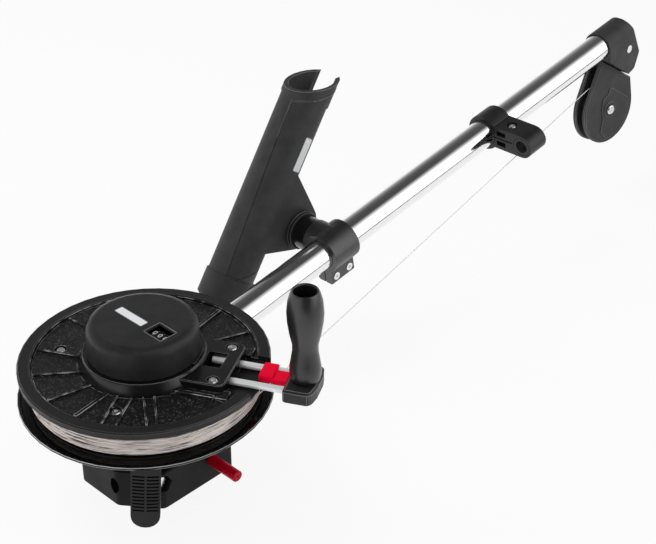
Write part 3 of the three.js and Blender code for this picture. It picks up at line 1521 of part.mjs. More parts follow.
function pulleyPieces() {
  const half = plateSpace / 2;
  const axleHole = (from, to) => rodY(sheaveBore + fit / 3, from, to, sheaveX, sheaveZ,
    boreSides(sheaveBore));
  const outer = half + plateThickness;
  const relief = slab(roundedOutline(reliefShares.map(([x, z]) => [
    sheaveX + x * cheekRadius, sheaveZ + z * cheekRadius,
  ]), reliefCorner), -outer - reliefHeight, -half - cheekBevel);
  const boss = rodY(axleBoss, -outer - 2 * reliefHeight, -half - cheekBevel, sheaveX, sheaveZ);
  piece(pulley, 'pulley_front_cheek', cut(joined(cheek(-outer, -half), relief, boss),
    axleHole(-outer - overrun, -half + overrun)), finish.greyPlastic());
  piece(pulley, 'pulley_back_cheek', cut(cheek(half, outer),
    axleHole(half - overrun, outer + overrun)), finish.greyPlastic());
  piece(pulley, 'pulley_neck', pulleyNeck(), finish.greyPlastic());
  piece(pulley, 'pulley_sheave', sheaveSolid(), finish.greyPlastic());
  piece(pulley, 'sheave_axle', sheaveAxle(), finish.brightSteel());
  piece(pulley, 'cable_wrap', cableWrap(), finish.cable());
}

// the neck's room and the cross pin's hole in the end cap, in the boom's frame
function neckRoom() {
  const toBoom = (shape) => shape
    .rotate([0, swivelTilt / degree, 0])
    .translate([swivelX, 0, swivelZ - boomHeight])
    .rotate([0, boomAngle / degree, 0]);
  const bore = rod(neckRadius + running, -overrun, neckHeight + fit, boreSides(neckRadius));
  const face = box(-2 * cheekRadius, 2 * cheekRadius, -cheekRadius, cheekRadius,
    -2 * cheekRadius, capGap);
  const pinX0 = -neckGroove - crossPinRadius - running;
  const pinHole2 = rodY(crossPinRadius + fit / 3, -2 * capRadius, 2 * capRadius, pinX0,
    crossPinHeight);
  const headRoom = rodY(crossPinHead + fit, -2 * capRadius, -capRadius + crossPinHead / 2,
    pinX0, crossPinHeight);
  return [bore, face, pinHole2, headRoom].map(toBoom);
}

function crossPin() {
  const at = -neckGroove - crossPinRadius - running;
  const headFloor = -capRadius + crossPinHead / 2 - fit;
  const shape = joined(
    rodY(crossPinRadius, headFloor - fit, capRadius, at, crossPinHeight),
    rodY(crossPinHead, -capRadius - edgeRound / 2, headFloor, at, crossPinHeight),
  );
  piece(swivel, 'swivel_cross_pin', shape, finish.brightSteel());
}

// the cable's free run: straight from the winding to the cheeks' mouth, then on to the sheave
function cableRun() {
  pulley.updateWorldMatrix(true, false);
  const end = pulley.localToWorld(new THREE.Vector3(0, 0, -cableDrop));
  const mouth = pulley.localToWorld(new THREE.Vector3(
    -cableEntry * Math.cos(swivelTilt), -cableEntrySide,
    -cableDrop - cableEntry * Math.sin(swivelTilt)));
  const radius = windingRadius + 2 * wireRadius + fit;
  const heading = Math.atan2(mouth.y, mouth.x) + Math.asin(radius / Math.hypot(mouth.x, mouth.y));
  const start = new THREE.Vector3(radius * Math.sin(heading), -radius * Math.cos(heading),
    spoolTop + (drumTop + drumBottom) / 2);
  const up = new THREE.Vector3(0, 0, 1);
  const route = [start, mouth, end];
  return tubeThrough(route.map((point, i) => {
    const along = route[Math.min(i + 1, 2)].clone().sub(route[Math.max(i - 1, 0)]).normalize();
    const across = along.clone().cross(up).normalize();
    return section(point, across, across.clone().cross(along), wireRadius, runSides);
  }));
}

spoolPieces();
cablePieces();
crankPieces();
axlePieces();
basePieces();
pinPieces();
brakePieces();
boomPieces();
piece(boom, 'boom_end_cap', endCap(neckRoom()), finish.greyPlastic());
holderPieces();
pulleyPieces();
crossPin();
piece(group, 'cable_run', cableRun(), finish.cable());

export default group;
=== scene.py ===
# %% [markdown]
# # Dressing a downrigger
# A downrigger is a hand winch that hangs fishing line at a set depth behind a boat. Its exact
# solids are already packed, so this lesson loads them as a fixed frame and gives each one its
# finish: rounded edges, moulded grain, polished steel, wound cable.

# %% Loading the frame
import json
import math

import bmesh
import bpy
from mathutils import Matrix, Vector

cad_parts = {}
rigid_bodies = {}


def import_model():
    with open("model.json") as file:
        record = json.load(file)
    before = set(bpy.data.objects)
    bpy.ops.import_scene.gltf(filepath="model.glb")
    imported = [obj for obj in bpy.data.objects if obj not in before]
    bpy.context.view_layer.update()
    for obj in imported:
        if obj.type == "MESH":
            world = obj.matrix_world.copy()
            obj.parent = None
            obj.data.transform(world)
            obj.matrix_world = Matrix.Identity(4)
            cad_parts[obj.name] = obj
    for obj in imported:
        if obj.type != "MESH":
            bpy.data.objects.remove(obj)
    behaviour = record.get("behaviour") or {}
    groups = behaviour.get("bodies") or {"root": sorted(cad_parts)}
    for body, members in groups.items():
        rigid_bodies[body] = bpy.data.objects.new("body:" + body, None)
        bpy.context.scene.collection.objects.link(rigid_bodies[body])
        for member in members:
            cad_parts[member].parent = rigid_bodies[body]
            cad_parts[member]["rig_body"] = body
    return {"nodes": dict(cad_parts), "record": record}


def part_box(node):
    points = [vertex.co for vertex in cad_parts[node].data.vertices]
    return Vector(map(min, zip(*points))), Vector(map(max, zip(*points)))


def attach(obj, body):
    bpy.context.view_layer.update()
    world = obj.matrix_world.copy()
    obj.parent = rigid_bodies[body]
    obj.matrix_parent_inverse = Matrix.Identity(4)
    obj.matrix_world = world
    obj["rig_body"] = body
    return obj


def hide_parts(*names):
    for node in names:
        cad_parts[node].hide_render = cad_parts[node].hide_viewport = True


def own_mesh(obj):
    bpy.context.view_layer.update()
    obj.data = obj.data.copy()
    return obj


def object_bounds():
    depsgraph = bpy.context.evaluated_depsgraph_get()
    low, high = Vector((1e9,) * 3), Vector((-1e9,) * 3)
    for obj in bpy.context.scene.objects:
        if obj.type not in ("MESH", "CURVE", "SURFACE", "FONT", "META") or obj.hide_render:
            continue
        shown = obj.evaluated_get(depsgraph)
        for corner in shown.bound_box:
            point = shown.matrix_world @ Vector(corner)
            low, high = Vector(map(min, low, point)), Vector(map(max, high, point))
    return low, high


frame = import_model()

MM = 0.001
cad_low, cad_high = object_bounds()
SLOT_OF = {row["node"]: row["material_slot"] for row in frame["record"]["subparts"]}
print("frame size in mm:", [round(v / MM) for v in cad_high - cad_low])

# %% [markdown]
# ## Camera
# The picture was taken with a long lens from above the crank. Its place was found by fitting the
# spool's ellipses and the boom's edges, so the camera is set by three directions and a place
# rather than by eye.

# %% Camera
CAMERA_PLACE = Vector((-0.59677, -0.78081, 0.82489))
CAMERA_RIGHT = Vector((0.68986, -0.72391, 0.00742))
CAMERA_UP = Vector((0.37671, 0.36770, 0.85023))
FOCAL_PIXELS = 1371
PICTURE_WIDTH = 656
SENSOR = 36

camera_data = bpy.data.cameras.new("camera")
camera_data.sensor_width = SENSOR
camera_data.lens = SENSOR * FOCAL_PIXELS / PICTURE_WIDTH
camera_data.clip_start, camera_data.clip_end = 0.05, 20
camera = bpy.data.objects.new("camera", camera_data)
bpy.context.scene.collection.objects.link(camera)
back = CAMERA_RIGHT.cross(CAMERA_UP).normalized()
up = back.cross(CAMERA_RIGHT).normalized()
turn = Matrix((CAMERA_RIGHT.normalized(), up, back)).transposed()
camera.matrix_world = Matrix.Translation(CAMERA_PLACE) @ turn.to_4x4()
bpy.context.scene.camera = camera
bpy.context.scene.view_settings.view_transform = "Standard"
print("lens in mm:", round(camera_data.lens, 1))

# %% [markdown]
# ## Light
# Black plastic and polished steel show their form only through what they mirror. So the world is
# plain white for the camera, a quiet grey as a light, and a studio for mirrors: a bright front, a
# dark roof that fades out towards the back, and a pale ground. That roof is what draws the dark
# strip along the top of the boom, and a thin dark line at the horizon draws the one below it. A
# few large soft panels do the rest.


# %% Nodes for the world and the floor
def light_panel(name, place, target, width, height, power):
    data = bpy.data.lights.new(name, "AREA")
    data.shape = "RECTANGLE"
    data.size, data.size_y = width, height
    data.energy = power
    lamp = bpy.data.objects.new(name, data)
    aim = (Vector(target) - Vector(place)).to_track_quat("-Z", "Y")
    lamp.matrix_world = Matrix.Translation(place) @ aim.to_matrix().to_4x4()
    lamp.visible_glossy = False
    bpy.context.scene.collection.objects.link(lamp)
    return lamp


def math_node(tree, operation, first, second):
    """first and second are sockets or numbers."""
    made = tree.nodes.new("ShaderNodeMath")
    made.operation = operation
    for socket, value in zip(made.inputs, (first, second)):
        if isinstance(value, (int, float)):
            socket.default_value = value
        else:
            tree.links.new(value, socket)
    return made.outputs[0]


def ramp_node(tree, source, start, end, low, high):
    made = tree.nodes.new("ShaderNodeMapRange")
    made.interpolation_type = "SMOOTHSTEP"
    for label, value in (("From Min", start), ("From Max", end), ("To Min", low),
                         ("To Max", high)):
        made.inputs[label].default_value = value
    tree.links.new(source, made.inputs["Value"])
    return made.outputs[0]


def direction(tree, toward):
    """How far a ray of the world points toward a direction, from -1 to 1."""
    coordinates = tree.nodes.new("ShaderNodeTexCoord")
    made = tree.nodes.new("ShaderNodeVectorMath")
    made.operation = "DOT_PRODUCT"
    tree.links.new(coordinates.outputs["Generated"], made.inputs[0])
    made.inputs[1].default_value = toward
    return made.outputs["Value"]


def ray_is(tree, *kinds):
    path = tree.nodes.new("ShaderNodeLightPath")
    found = path.outputs[kinds[0]]
    for kind in kinds[1:]:
        found = math_node(tree, "MAXIMUM", found, path.outputs[kind])
    return found


# %% [markdown]
# In mirrors the front half of the world and its back half are ramps on the ray's direction,
# mixed by how far the ray points behind the boom.

# %% World and panels
GROUND = 0.88
world = bpy.data.worlds.new("studio")
bpy.context.scene.world = world
world.use_nodes = True
sky = world.node_tree
sky.nodes.clear()


def times(first, second):
    return math_node(sky, "MULTIPLY", first, second)


def plus(first, second):
    return math_node(sky, "ADD", first, second)


def mixed(first, second, share):
    return plus(times(first, math_node(sky, "SUBTRACT", 1, share)), times(second, share))


behind = ramp_node(sky, direction(sky, (0, 0.966, 0.259)), -0.42, 0.1, 0, 1)
roof_fade = math_node(sky, "SUBTRACT", 1, direction(sky, (0, 0, 1)))
roof_light = math_node(sky, "MINIMUM", 0.95, plus(0.06, times(
    0.94, math_node(sky, "POWER", roof_fade, 2.2))))
softbox = ramp_node(sky, direction(sky, (0.54, -0.785, 0.3)), 0.82, 0.96, 1, 1.6)
camera_side = ramp_node(sky, direction(sky, (-0.6, -0.78, 0.18)), 0.72, 0.94, 1, 0.08)
horizon = direction(sky, (0, -0.342, 0.94))
on_ground = ramp_node(sky, horizon, -0.05, -0.03, 1, 0)
front = mixed(times(softbox, camera_side), GROUND, on_ground)
line = times(ramp_node(sky, horizon, 0.02, 0.04, 1, 0),
             ramp_node(sky, horizon, -0.07, -0.05, 0, 1))
front = times(front, math_node(sky, "SUBTRACT", 1, times(0.97, line)))
mirrored = math_node(sky, "MAXIMUM", 0.03, mixed(front, roof_light, behind))

quiet = sky.nodes.new("ShaderNodeBackground")
quiet.inputs["Color"].default_value = (0.95, 0.97, 1, 1)
quiet.inputs["Strength"].default_value = 0.4
mirror = sky.nodes.new("ShaderNodeBackground")
sky.links.new(mirrored, mirror.inputs["Color"])
white = sky.nodes.new("ShaderNodeBackground")
white.inputs["Color"].default_value = (1, 1, 1, 1)
pick_mirror = sky.nodes.new("ShaderNodeMixShader")
pick = sky.nodes.new("ShaderNodeMixShader")
sky_out = sky.nodes.new("ShaderNodeOutputWorld")
sky.links.new(ray_is(sky, "Is Glossy Ray"), pick_mirror.inputs[0])
sky.links.new(quiet.outputs[0], pick_mirror.inputs[1])
sky.links.new(mirror.outputs[0], pick_mirror.inputs[2])
sky.links.new(ray_is(sky, "Is Camera Ray", "Is Transmission Ray"), pick.inputs[0])
sky.links.new(pick_mirror.outputs[0], pick.inputs[1])
sky.links.new(white.outputs[0], pick.inputs[2])
sky.links.new(pick.outputs[0], sky_out.inputs[0])

MIDDLE = (0.25, 0, 0.1)
light_panel("key", (-0.2, 0.9, 1.5), MIDDLE, 1.2, 0.9, 14)
light_panel("fill", (1.0, -1.2, 0.9), MIDDLE, 0.9, 0.9, 6)
light_panel("left", (-1.3, -0.1, 0.6), (0, 0, 0.1), 0.5, 0.8, 5)

# %% [markdown]
# The floor is a wide matt sheet. A camera ray sees it nearly white by its own light, so only the
# object's shadow stays on it, and mirrors don't see it at all.

# %% Floor
floor_mesh = bpy.data.meshes.new("floor")
FLOOR_REACH = 6
floor_mesh.from_pydata(
    [(-FLOOR_REACH, -FLOOR_REACH, 0), (FLOOR_REACH, -FLOOR_REACH, 0),
     (FLOOR_REACH, FLOOR_REACH, 0), (-FLOOR_REACH, FLOOR_REACH, 0)],
    [], [(0, 1, 2, 3)])
floor = bpy.data.objects.new("floor", floor_mesh)
floor.location.z = cad_low.z - 0.5 * MM
bpy.context.scene.collection.objects.link(floor)
paper = bpy.data.materials.new("paper")
paper.use_nodes = True
paper_tree = paper.node_tree
paper_tree.nodes.clear()
matt = paper_tree.nodes.new("ShaderNodeBsdfDiffuse")
matt.inputs["Color"].default_value = (0.85, 0.85, 0.85, 1)
bright = paper_tree.nodes.new("ShaderNodeEmission")
bright.inputs["Strength"].default_value = 1
share = math_node(paper_tree, "MULTIPLY",
                  ray_is(paper_tree, "Is Camera Ray", "Is Transmission Ray"), 0.9)
paper_mix = paper_tree.nodes.new("ShaderNodeMixShader")
paper_out = paper_tree.nodes.new("ShaderNodeOutputMaterial")
paper_tree.links.new(share, paper_mix.inputs[0])
paper_tree.links.new(matt.outputs[0], paper_mix.inputs[1])
paper_tree.links.new(bright.outputs[0], paper_mix.inputs[2])
paper_tree.links.new(paper_mix.outputs[0], paper_out.inputs[0])
floor_mesh.materials.append(paper)
floor.visible_glossy = False
print("floor reach in m:", FLOOR_REACH)

# %% [markdown]
# ## Finishes
# Each finish is a small node tree on Object coordinates, so a grain has one size in millimetres
# on every piece. What is the same all over is set on the shader itself, and only what varies
# (grain, smudges, random tints, and painted glints, highlights and shade) is linked.


# %% A kit for finishes
class Finish:
    """A Principled material that grain, smudges and tints are added to one by one."""

    def __init__(self, name, colour, roughness, metallic=0.0, coat=0.0, specular=0.5):
        self.material = bpy.data.materials.new(name)
        self.material.use_nodes = True
        self.tree = self.material.node_tree
        self.shader = self.tree.nodes["Principled BSDF"]
        self.shader.inputs["Base Color"].default_value = (*colour, 1)
        self.shader.inputs["Roughness"].default_value = roughness
        self.shader.inputs["Metallic"].default_value = metallic
        self.shader.inputs["Coat Weight"].default_value = coat
        self.shader.inputs["Coat Roughness"].default_value = 0.12
        self.shader.inputs["Specular IOR Level"].default_value = specular
        self.colour = colour
        self.place = self.tree.nodes.new("ShaderNodeTexCoord").outputs["Object"]
        self.bumps = None

    def node(self, kind, **inputs):
        made = self.tree.nodes.new(kind)
        for key, value in inputs.items():
            made.inputs[key.replace("_", " ")].default_value = value
        return made

    def turned(self, angles, scale):
        mapping = self.tree.nodes.new("ShaderNodeMapping")
        mapping.inputs["Rotation"].default_value = angles
        mapping.inputs["Scale"].default_value = scale
        self.tree.links.new(self.place, mapping.inputs["Vector"])
        return mapping.outputs[0]

    def noise(self, size_mm, detail=2.0, place=None):
        made = self.node("ShaderNodeTexNoise", Scale=1 / (size_mm * MM), Detail=detail)
        self.tree.links.new(place or self.place, made.inputs["Vector"])
        return made.outputs[0]

    def cells(self, size_mm):
        made = self.node("ShaderNodeTexVoronoi", Scale=1 / (size_mm * MM))
        made.feature = "SMOOTH_F1"
        self.tree.links.new(self.place, made.inputs["Vector"])
        return made.outputs["Distance"]

    def spread(self, source, low, high, start=0.3, end=0.7):
        made = self.node("ShaderNodeMapRange", From_Min=start, From_Max=end,
                         To_Min=low, To_Max=high)
        self.tree.links.new(source, made.inputs["Value"])
        return made.outputs[0]

    def bump(self, source, depth_mm, strength=1.0):
        made = self.node("ShaderNodeBump", Distance=depth_mm * MM, Strength=strength)
        self.tree.links.new(source, made.inputs["Height"])
        if self.bumps:
            self.tree.links.new(self.bumps, made.inputs["Normal"])
        self.bumps = made.outputs[0]
        self.tree.links.new(self.bumps, self.shader.inputs["Normal"])
        return self

    def smudges(self, low, high, size_mm, place=None):
        source = self.noise(size_mm, 3.0, place)
        self.tree.links.new(self.spread(source, low, high), self.shader.inputs["Roughness"])
        return self

    def speckle(self, grains, colour):
        """Painted glints: the grains' tops are made lighter, on some of them only, where they
        would catch the light.
        """
        tops = self.spread(grains, 1, 0, 0.05, 0.3)
        some = self.spread(self.noise(2.2, 4.0), 0, 1, 0.42, 0.62)
        mix = self.tree.nodes.new("ShaderNodeMix")
        mix.data_type = "RGBA"
        mix.inputs[6].default_value = (*self.colour, 1)
        mix.inputs[7].default_value = (*colour, 1)
        self.tree.links.new(math_node(self.tree, "MULTIPLY", tops, some), mix.inputs[0])
        self.tree.links.new(mix.outputs[2], self.shader.inputs["Base Color"])
        return self

    def tint(self, other, size_mm, start=0.35, end=0.65, place=None):
        mix = self.tree.nodes.new("ShaderNodeMix")
        mix.data_type = "RGBA"
        mix.inputs[6].default_value = (*self.colour, 1)
        mix.inputs[7].default_value = (*other, 1)
        source = self.spread(self.noise(size_mm, 4.0, place), 0, 1, start, end)
        self.tree.links.new(source, mix.inputs[0])
        self.tree.links.new(mix.outputs[2], self.shader.inputs["Base Color"])
        return self


# %% [markdown]
# Six kinds of surface cover the object: pebbled, satin, brushed, smooth, dotted highlight and
# wound. Each finish below is one of them with its own numbers, and EDGE_LOOKS says which one its
# rounded edges take; for the black mouldings that is a lighter finish, a painted highlight along
# the edge.

# %% The finishes of this object
def pebbled(name, colour, glint, roughness, depth=0.16, size=0.9):
    made = Finish(name, colour, roughness, specular=0.35)
    grains = made.cells(size)
    made.speckle(grains, glint)
    made.smudges(roughness - 0.07, roughness + 0.1, 14)
    made.bump(grains, depth, 0.9)
    return made.bump(made.noise(0.35, 3.0), depth / 3, 0.7).material


def satin(name, colour, other, roughness, depth=0.03, size=0.4, specular=0.4):
    made = Finish(name, colour, roughness, specular=specular)
    made.tint(other, 12).smudges(roughness - 0.05, roughness + 0.07, 30)
    made.bump(made.noise(size, 3.0), depth, 0.7)
    return made.bump(made.noise(9, 2.0), 0.04, 0.3).material


def brushed(name, colour, roughness, angles=(0, 0, 0), stretch=60, metallic=1.0, depth=0.006):
    made = Finish(name, colour, roughness, metallic=metallic)
    lines = made.turned(angles, (1 / stretch, 1, 1))
    made.smudges(roughness * 0.7, roughness * 1.4, 6, lines)
    return made.bump(made.noise(0.5, 2.0, lines), depth, 0.6).material


def smooth(name, colour, other, roughness, coat=0.0, specular=0.5):
    made = Finish(name, colour, roughness, coat=coat, specular=specular)
    made.tint(other, 30).smudges(roughness * 0.8, roughness * 1.5, 22)
    return made.bump(made.noise(5, 2.0), 0.01, 0.5).material


def worn(name, colour, highlight_colour, roughness):
    """A painted highlight along an edge, light in places only, so that it reads as a dotted line.
    """
    made = Finish(name, colour, roughness, specular=0.4)
    made.tint(highlight_colour, 9, 0.44, 0.6).smudges(roughness - 0.05, roughness + 0.1, 10)
    return made.bump(made.noise(0.5, 3.0), 0.05, 0.6).material


def wound(name, colour, shadow, roughness):
    """Cable painted near white with long dark streaks round the drum: painted light and shade,
    where its strands would catch the light or lie in shade.
    """
    made = Finish(name, colour, roughness, metallic=0.25, specular=0.4)
    streaks = made.turned((0, 0, 0), (1 / 34, 1 / 34, 1))
    made.tint(shadow, 0.6, 0.48, 0.68, streaks)
    made.smudges(roughness * 0.8, roughness * 1.3, 3, streaks)
    return made.bump(made.noise(0.25, 2.0, streaks), 0.05, 0.6).material


def grey(level, tint=0.0):
    return (level, level, level + tint)


LOOKS = {
    # The light specks on the flange's grain are painted glints.
    "flange_grain": pebbled("flange_grain", grey(0.006), grey(0.36), 0.42),
    "flange_smooth": pebbled("flange_smooth", grey(0.012), grey(0.07), 0.36, 0.05, 0.6),
    "plate_black": smooth("plate_black", grey(0.004), grey(0.007), 0.2, coat=0.2),
    "black_plastic": satin("black_mould", grey(0.011), grey(0.016), 0.4),
    "cap_plastic": satin("cap_mould", grey(0.014), grey(0.02), 0.42, depth=0.02),
    "grey_plastic": satin("grey_mould", grey(0.03, 0.001), grey(0.04, 0.001), 0.55, 0.06),
    "gloss_black": smooth("gloss_black", grey(0.002), grey(0.004), 0.07, specular=0.22),
    "red_plastic": smooth("red_mould", (0.62, 0.001, 0.02), (0.52, 0.001, 0.016), 0.36,
                          specular=0.15),
    # A brighter copy of red_plastic for the lock alone: painted light on the same red moulding.
    "lit_lock_red": smooth("lit_lock_red", (0.95, 0.001, 0.035), (0.85, 0.001, 0.03), 0.4,
                       specular=0.08),
    "steel": brushed("turned_steel", grey(0.6), 0.3),
    "bright_steel": brushed("bright_steel", grey(0.9), 0.2),
    # The crank rods' steel is mostly a near-white diffuse finish that the lamps light bright:
    # partly a painted reflection.
    "rod_steel": brushed("rod_steel", grey(0.97), 0.2, metallic=0.35),
    "boom_steel": brushed("boom_steel", grey(0.95), 0.12, (0, math.radians(10), 0), 90,
                          depth=0.0003),
    "cable_steel": brushed("cable_steel", (0.72, 0.68, 0.62), 0.34),
    # The free run of cable is a near-white matt copy of the cable's steel: painted sheen.
    "cable_line": brushed("cable_line", grey(0.97), 0.6, metallic=0.1),
    "clamp_black": satin("clamp_mould", grey(0.012), grey(0.017), 0.36, 0.04, 0.5, 1.0),
    # The base is a darker, less shiny copy of the black moulding: painted shade cast by the spool
    # above it.
    "shaded_base_black": satin("base_mould_shaded", grey(0.006), grey(0.009), 0.5, 0.03, 0.5, 0.16),
    "lever_black": satin("lever_mould", grey(0.006), grey(0.01), 0.4, 0.02, 0.4, 0.3),
    "grip_black": satin("grip_mould", grey(0.009), grey(0.012), 0.3, 0.02, 0.5, 0.85),
    "bronze": brushed("bronze", (0.5, 0.34, 0.16), 0.35),
    "rubber": satin("rubber", grey(0.012), grey(0.018), 0.75, 0.05),
    "white_plastic": smooth("white_mould", (0.75, 0.74, 0.7), (0.7, 0.69, 0.66), 0.35),
    "wheel_black": smooth("wheel_black", grey(0.01), grey(0.014), 0.3),
    "plate_paint": smooth("plate_paint", (0.85, 0.86, 0.86), (0.78, 0.79, 0.8), 0.35),
    # The edge finishes below are lighter than their mouldings: painted highlights along the
    # edges.
    "edge_highlight_black": smooth("black_edge_highlight", grey(0.045), grey(0.03), 0.28),
    "edge_highlight_gloss": smooth("gloss_edge_highlight", grey(0.16), grey(0.09), 0.12),
    "lip_highlight": smooth("lip_highlight", grey(0.5), grey(0.3), 0.2),
    "rib_highlight": worn("rib_edge_highlight", grey(0.03), grey(0.42), 0.35),
    "window_edge": smooth("window_edge", grey(0.3), grey(0.2), 0.3),
    "wound_steel": wound("wound_steel", (0.98, 0.9, 0.85), (0.1, 0.07, 0.06), 0.4),
}
EDGE_LOOKS = {"black_plastic": "edge_highlight_black", "cap_plastic": "edge_highlight_black",
              "shaded_base_black": "edge_highlight_black", "lever_black": "edge_highlight_black",
              "clamp_black": "edge_highlight_black", "grey_plastic": "edge_highlight_black",
              "flange_smooth": "rib_highlight",
              "plate_black": "edge_highlight_gloss", "gloss_black": "edge_highlight_gloss"}
print("finishes:", len(LOOKS))

# %% [markdown]
# ## From solid to skin
# A imported solid has perfectly sharp edges, and no moulded or machined piece has those. Each
# node is copied, its loose triangles are merged, flat triangles become whole faces again, and a
# small bevel catches the light along every edge; on most pieces that bevel is also painted
# lighter, a painted highlight. The copy then stands for the node.


# %% A kit for skins
EDGE_ANGLE = 34
FLAT_ANGLE = 0.6
SAME_PLACE = 0.002 * MM


def place_mesh(name, mesh):
    made = bpy.data.objects.new(name, mesh)
    bpy.context.scene.collection.objects.link(made)
    return made


def settle(made):
    """The object's modifiers become its mesh, and none is left on it."""
    graph = bpy.context.evaluated_depsgraph_get()
    mesh = bpy.data.meshes.new_from_object(made.evaluated_get(graph))
    made.modifiers.clear()
    made.data = mesh
    return made


def merged_copy(node):
    source = frame["nodes"][node]
    shape = bmesh.new()
    shape.from_mesh(source.data)
    bmesh.ops.remove_doubles(shape, verts=shape.verts, dist=SAME_PLACE)
    bmesh.ops.dissolve_limit(shape, angle_limit=math.radians(FLAT_ANGLE),
                             verts=shape.verts, edges=shape.edges)
    mesh = bpy.data.meshes.new(node + "_skin")
    shape.to_mesh(mesh)
    shape.free()
    return mesh


def round_edges(made, width_mm, angle):
    """The rounding takes the second of the object's materials; for most mouldings that is a
    lighter edge finish, a painted highlight.
    """
    bevel = made.modifiers.new("edges", "BEVEL")
    bevel.width = width_mm * MM
    bevel.segments = 2
    bevel.limit_method = "ANGLE"
    bevel.angle_limit = math.radians(angle)
    bevel.use_clamp_overlap = True
    bevel.material = 1
    return made


def shade(made, angle):
    """Large flat faces keep their own normal, and the small edge faces blend into them."""
    made.data.shade_smooth()
    made.data.set_sharp_from_angle(angle=math.radians(angle))
    weighted = made.modifiers.new("flat_faces", "WEIGHTED_NORMAL")
    weighted.keep_sharp = True
    return settle(made)


def rides_with(made, node):
    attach(made, frame["nodes"][node]["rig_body"])
    return made


def join_frame(made, node):
    """The piece moves with its node's body and stands for it."""
    rides_with(made, node)
    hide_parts(node)
    return made


def skin(node, look, width_mm, angle=EDGE_ANGLE, second=None, is_second=None):
    """second is a look for the faces of which is_second(corners) is true."""
    mesh = merged_copy(node)
    made = place_mesh(node + "_skin", mesh)
    looks = [look, EDGE_LOOKS.get(look, look)] + ([second] if second else [])
    for each in looks:
        mesh.materials.append(LOOKS[each])
    if second:
        for face in mesh.polygons:
            corners = [mesh.vertices[i].co for i in face.vertices]
            face.material_index = 2 if is_second(corners) else 0
    if width_mm:
        settle(round_edges(made, width_mm, angle))
    shade(made, angle)
    return join_frame(made, node)


# %% [markdown]
# Most nodes take the finish of their material slot. Those in SPECIAL have their own, with the
# width of their rounding in millimetres. The upper flange has two, for its smooth rim and its
# grained recess.

# %% A skin for every node
SPOOL_TOP = 138 * MM
RECESS_DEPTH = 8 * MM
BAND_START = 98.2 * MM


def in_recess(corners):
    """Whether a face of the upper flange lies inside its rim band, on its upper side."""
    far = max(math.hypot(c.x, c.y) for c in corners)
    return far < BAND_START and min(c.z for c in corners) > SPOOL_TOP - RECESS_DEPTH


PLAIN_WIDTH = 0.4
SPECIAL = {
    "crank_plate": ("plate_black", 0.6),
    "crank_lock": ("lit_lock_red", 0.5),
    "base_housing": ("shaded_base_black", 0.4),
    "thumb_lever": ("lever_black", 0.5),
    "rod_holder_post": ("plate_black", 0.4),
    "rod_clamp": ("clamp_black", 0.5),
    "crank_rod_left": ("rod_steel", 0.3),
    "crank_rod_right": ("rod_steel", 0.3),
    "crank_grip": ("grip_black", 0.4),
    "lower_flange": ("gloss_black", 0),
    "counter_wheel_hundreds": ("wheel_black", 0.3),
    "counter_wheel_tens": ("wheel_black", 0.3),
    "counter_wheel_units": ("wheel_black", 0.3),
    "boom_tube": ("boom_steel", 0.3),
    "cable_core": ("wound_steel", 0),
    "cable_wrap": ("cable_steel", 0),
    "pin_spring": ("steel", 0),
    "handle_block": ("cap_plastic", 0.8),
    "rod_holder": ("grey_plastic", 0.6),
}
LATER = {"upper_flange", "counter_cover", "cable_winding", "cable_run"}
for node in frame["nodes"]:
    if node not in LATER:
        look, width = SPECIAL.get(node, (SLOT_OF[node], PLAIN_WIDTH))
        skin(node, look, width)
skin("upper_flange", "flange_smooth", 0.7, second="flange_grain", is_second=in_recess)
skin("counter_cover", "cap_plastic", 0.5, angle=50)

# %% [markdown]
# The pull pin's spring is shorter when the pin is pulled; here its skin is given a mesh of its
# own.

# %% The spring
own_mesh(bpy.data.objects["pin_spring_skin"])

# %% [markdown]
# ## Painted edge highlights
# The sharp edges of the black mouldings, the flange's lip and the pulley's cheeks catch the light
# as thin pale lines, and here these are painted on. Each line is a row of thin rods in a light
# finish laid along a node's sharp outer edges. An edge is picked by the angle between its two
# faces and by its place.

# %% A kit for painted edge highlights
def edge_lines(node, name, look, radius_mm, chosen, angle=EDGE_ANGLE):
    """Thin rods in a light finish along a node's sharp outer edges: painted highlights."""
    shape = bmesh.new()
    mesh = merged_copy(node)
    shape.from_mesh(mesh)
    edges = [e for e in shape.edges if e.is_manifold
             and e.calc_face_angle_signed(0) > math.radians(angle)
             and chosen((e.verts[0].co + e.verts[1].co) / 2)]
    corners, faces = [], []
    for edge in edges:
        start, end = (v.co for v in edge.verts)
        along = (end - start).normalized()
        out = sum((f.normal for f in edge.link_faces), Vector()).normalized()
        side = along.cross(out) * radius_mm * MM
        lift = out * radius_mm * MM * 0.5
        first = len(corners)
        for place in (start, end):
            corners += [place + side, place + lift, place - side, place - lift]
        faces += [(first + i, first + (i + 1) % 4, first + 4 + (i + 1) % 4, first + 4 + i)
                  for i in range(4)]
        faces += [(first + 3, first + 2, first + 1, first),
                  (first + 4, first + 5, first + 6, first + 7)]
    shape.free()
    lines = bpy.data.meshes.new(name)
    lines.from_pydata(corners, [], faces)
    lines.materials.append(LOOKS[look])
    made = place_mesh(name, lines)
    print(name, "edges:", len(edges))
    return rides_with(made, node)


def anywhere(place):
    return True


def from_axis(place):
    return math.hypot(place.x, place.y)


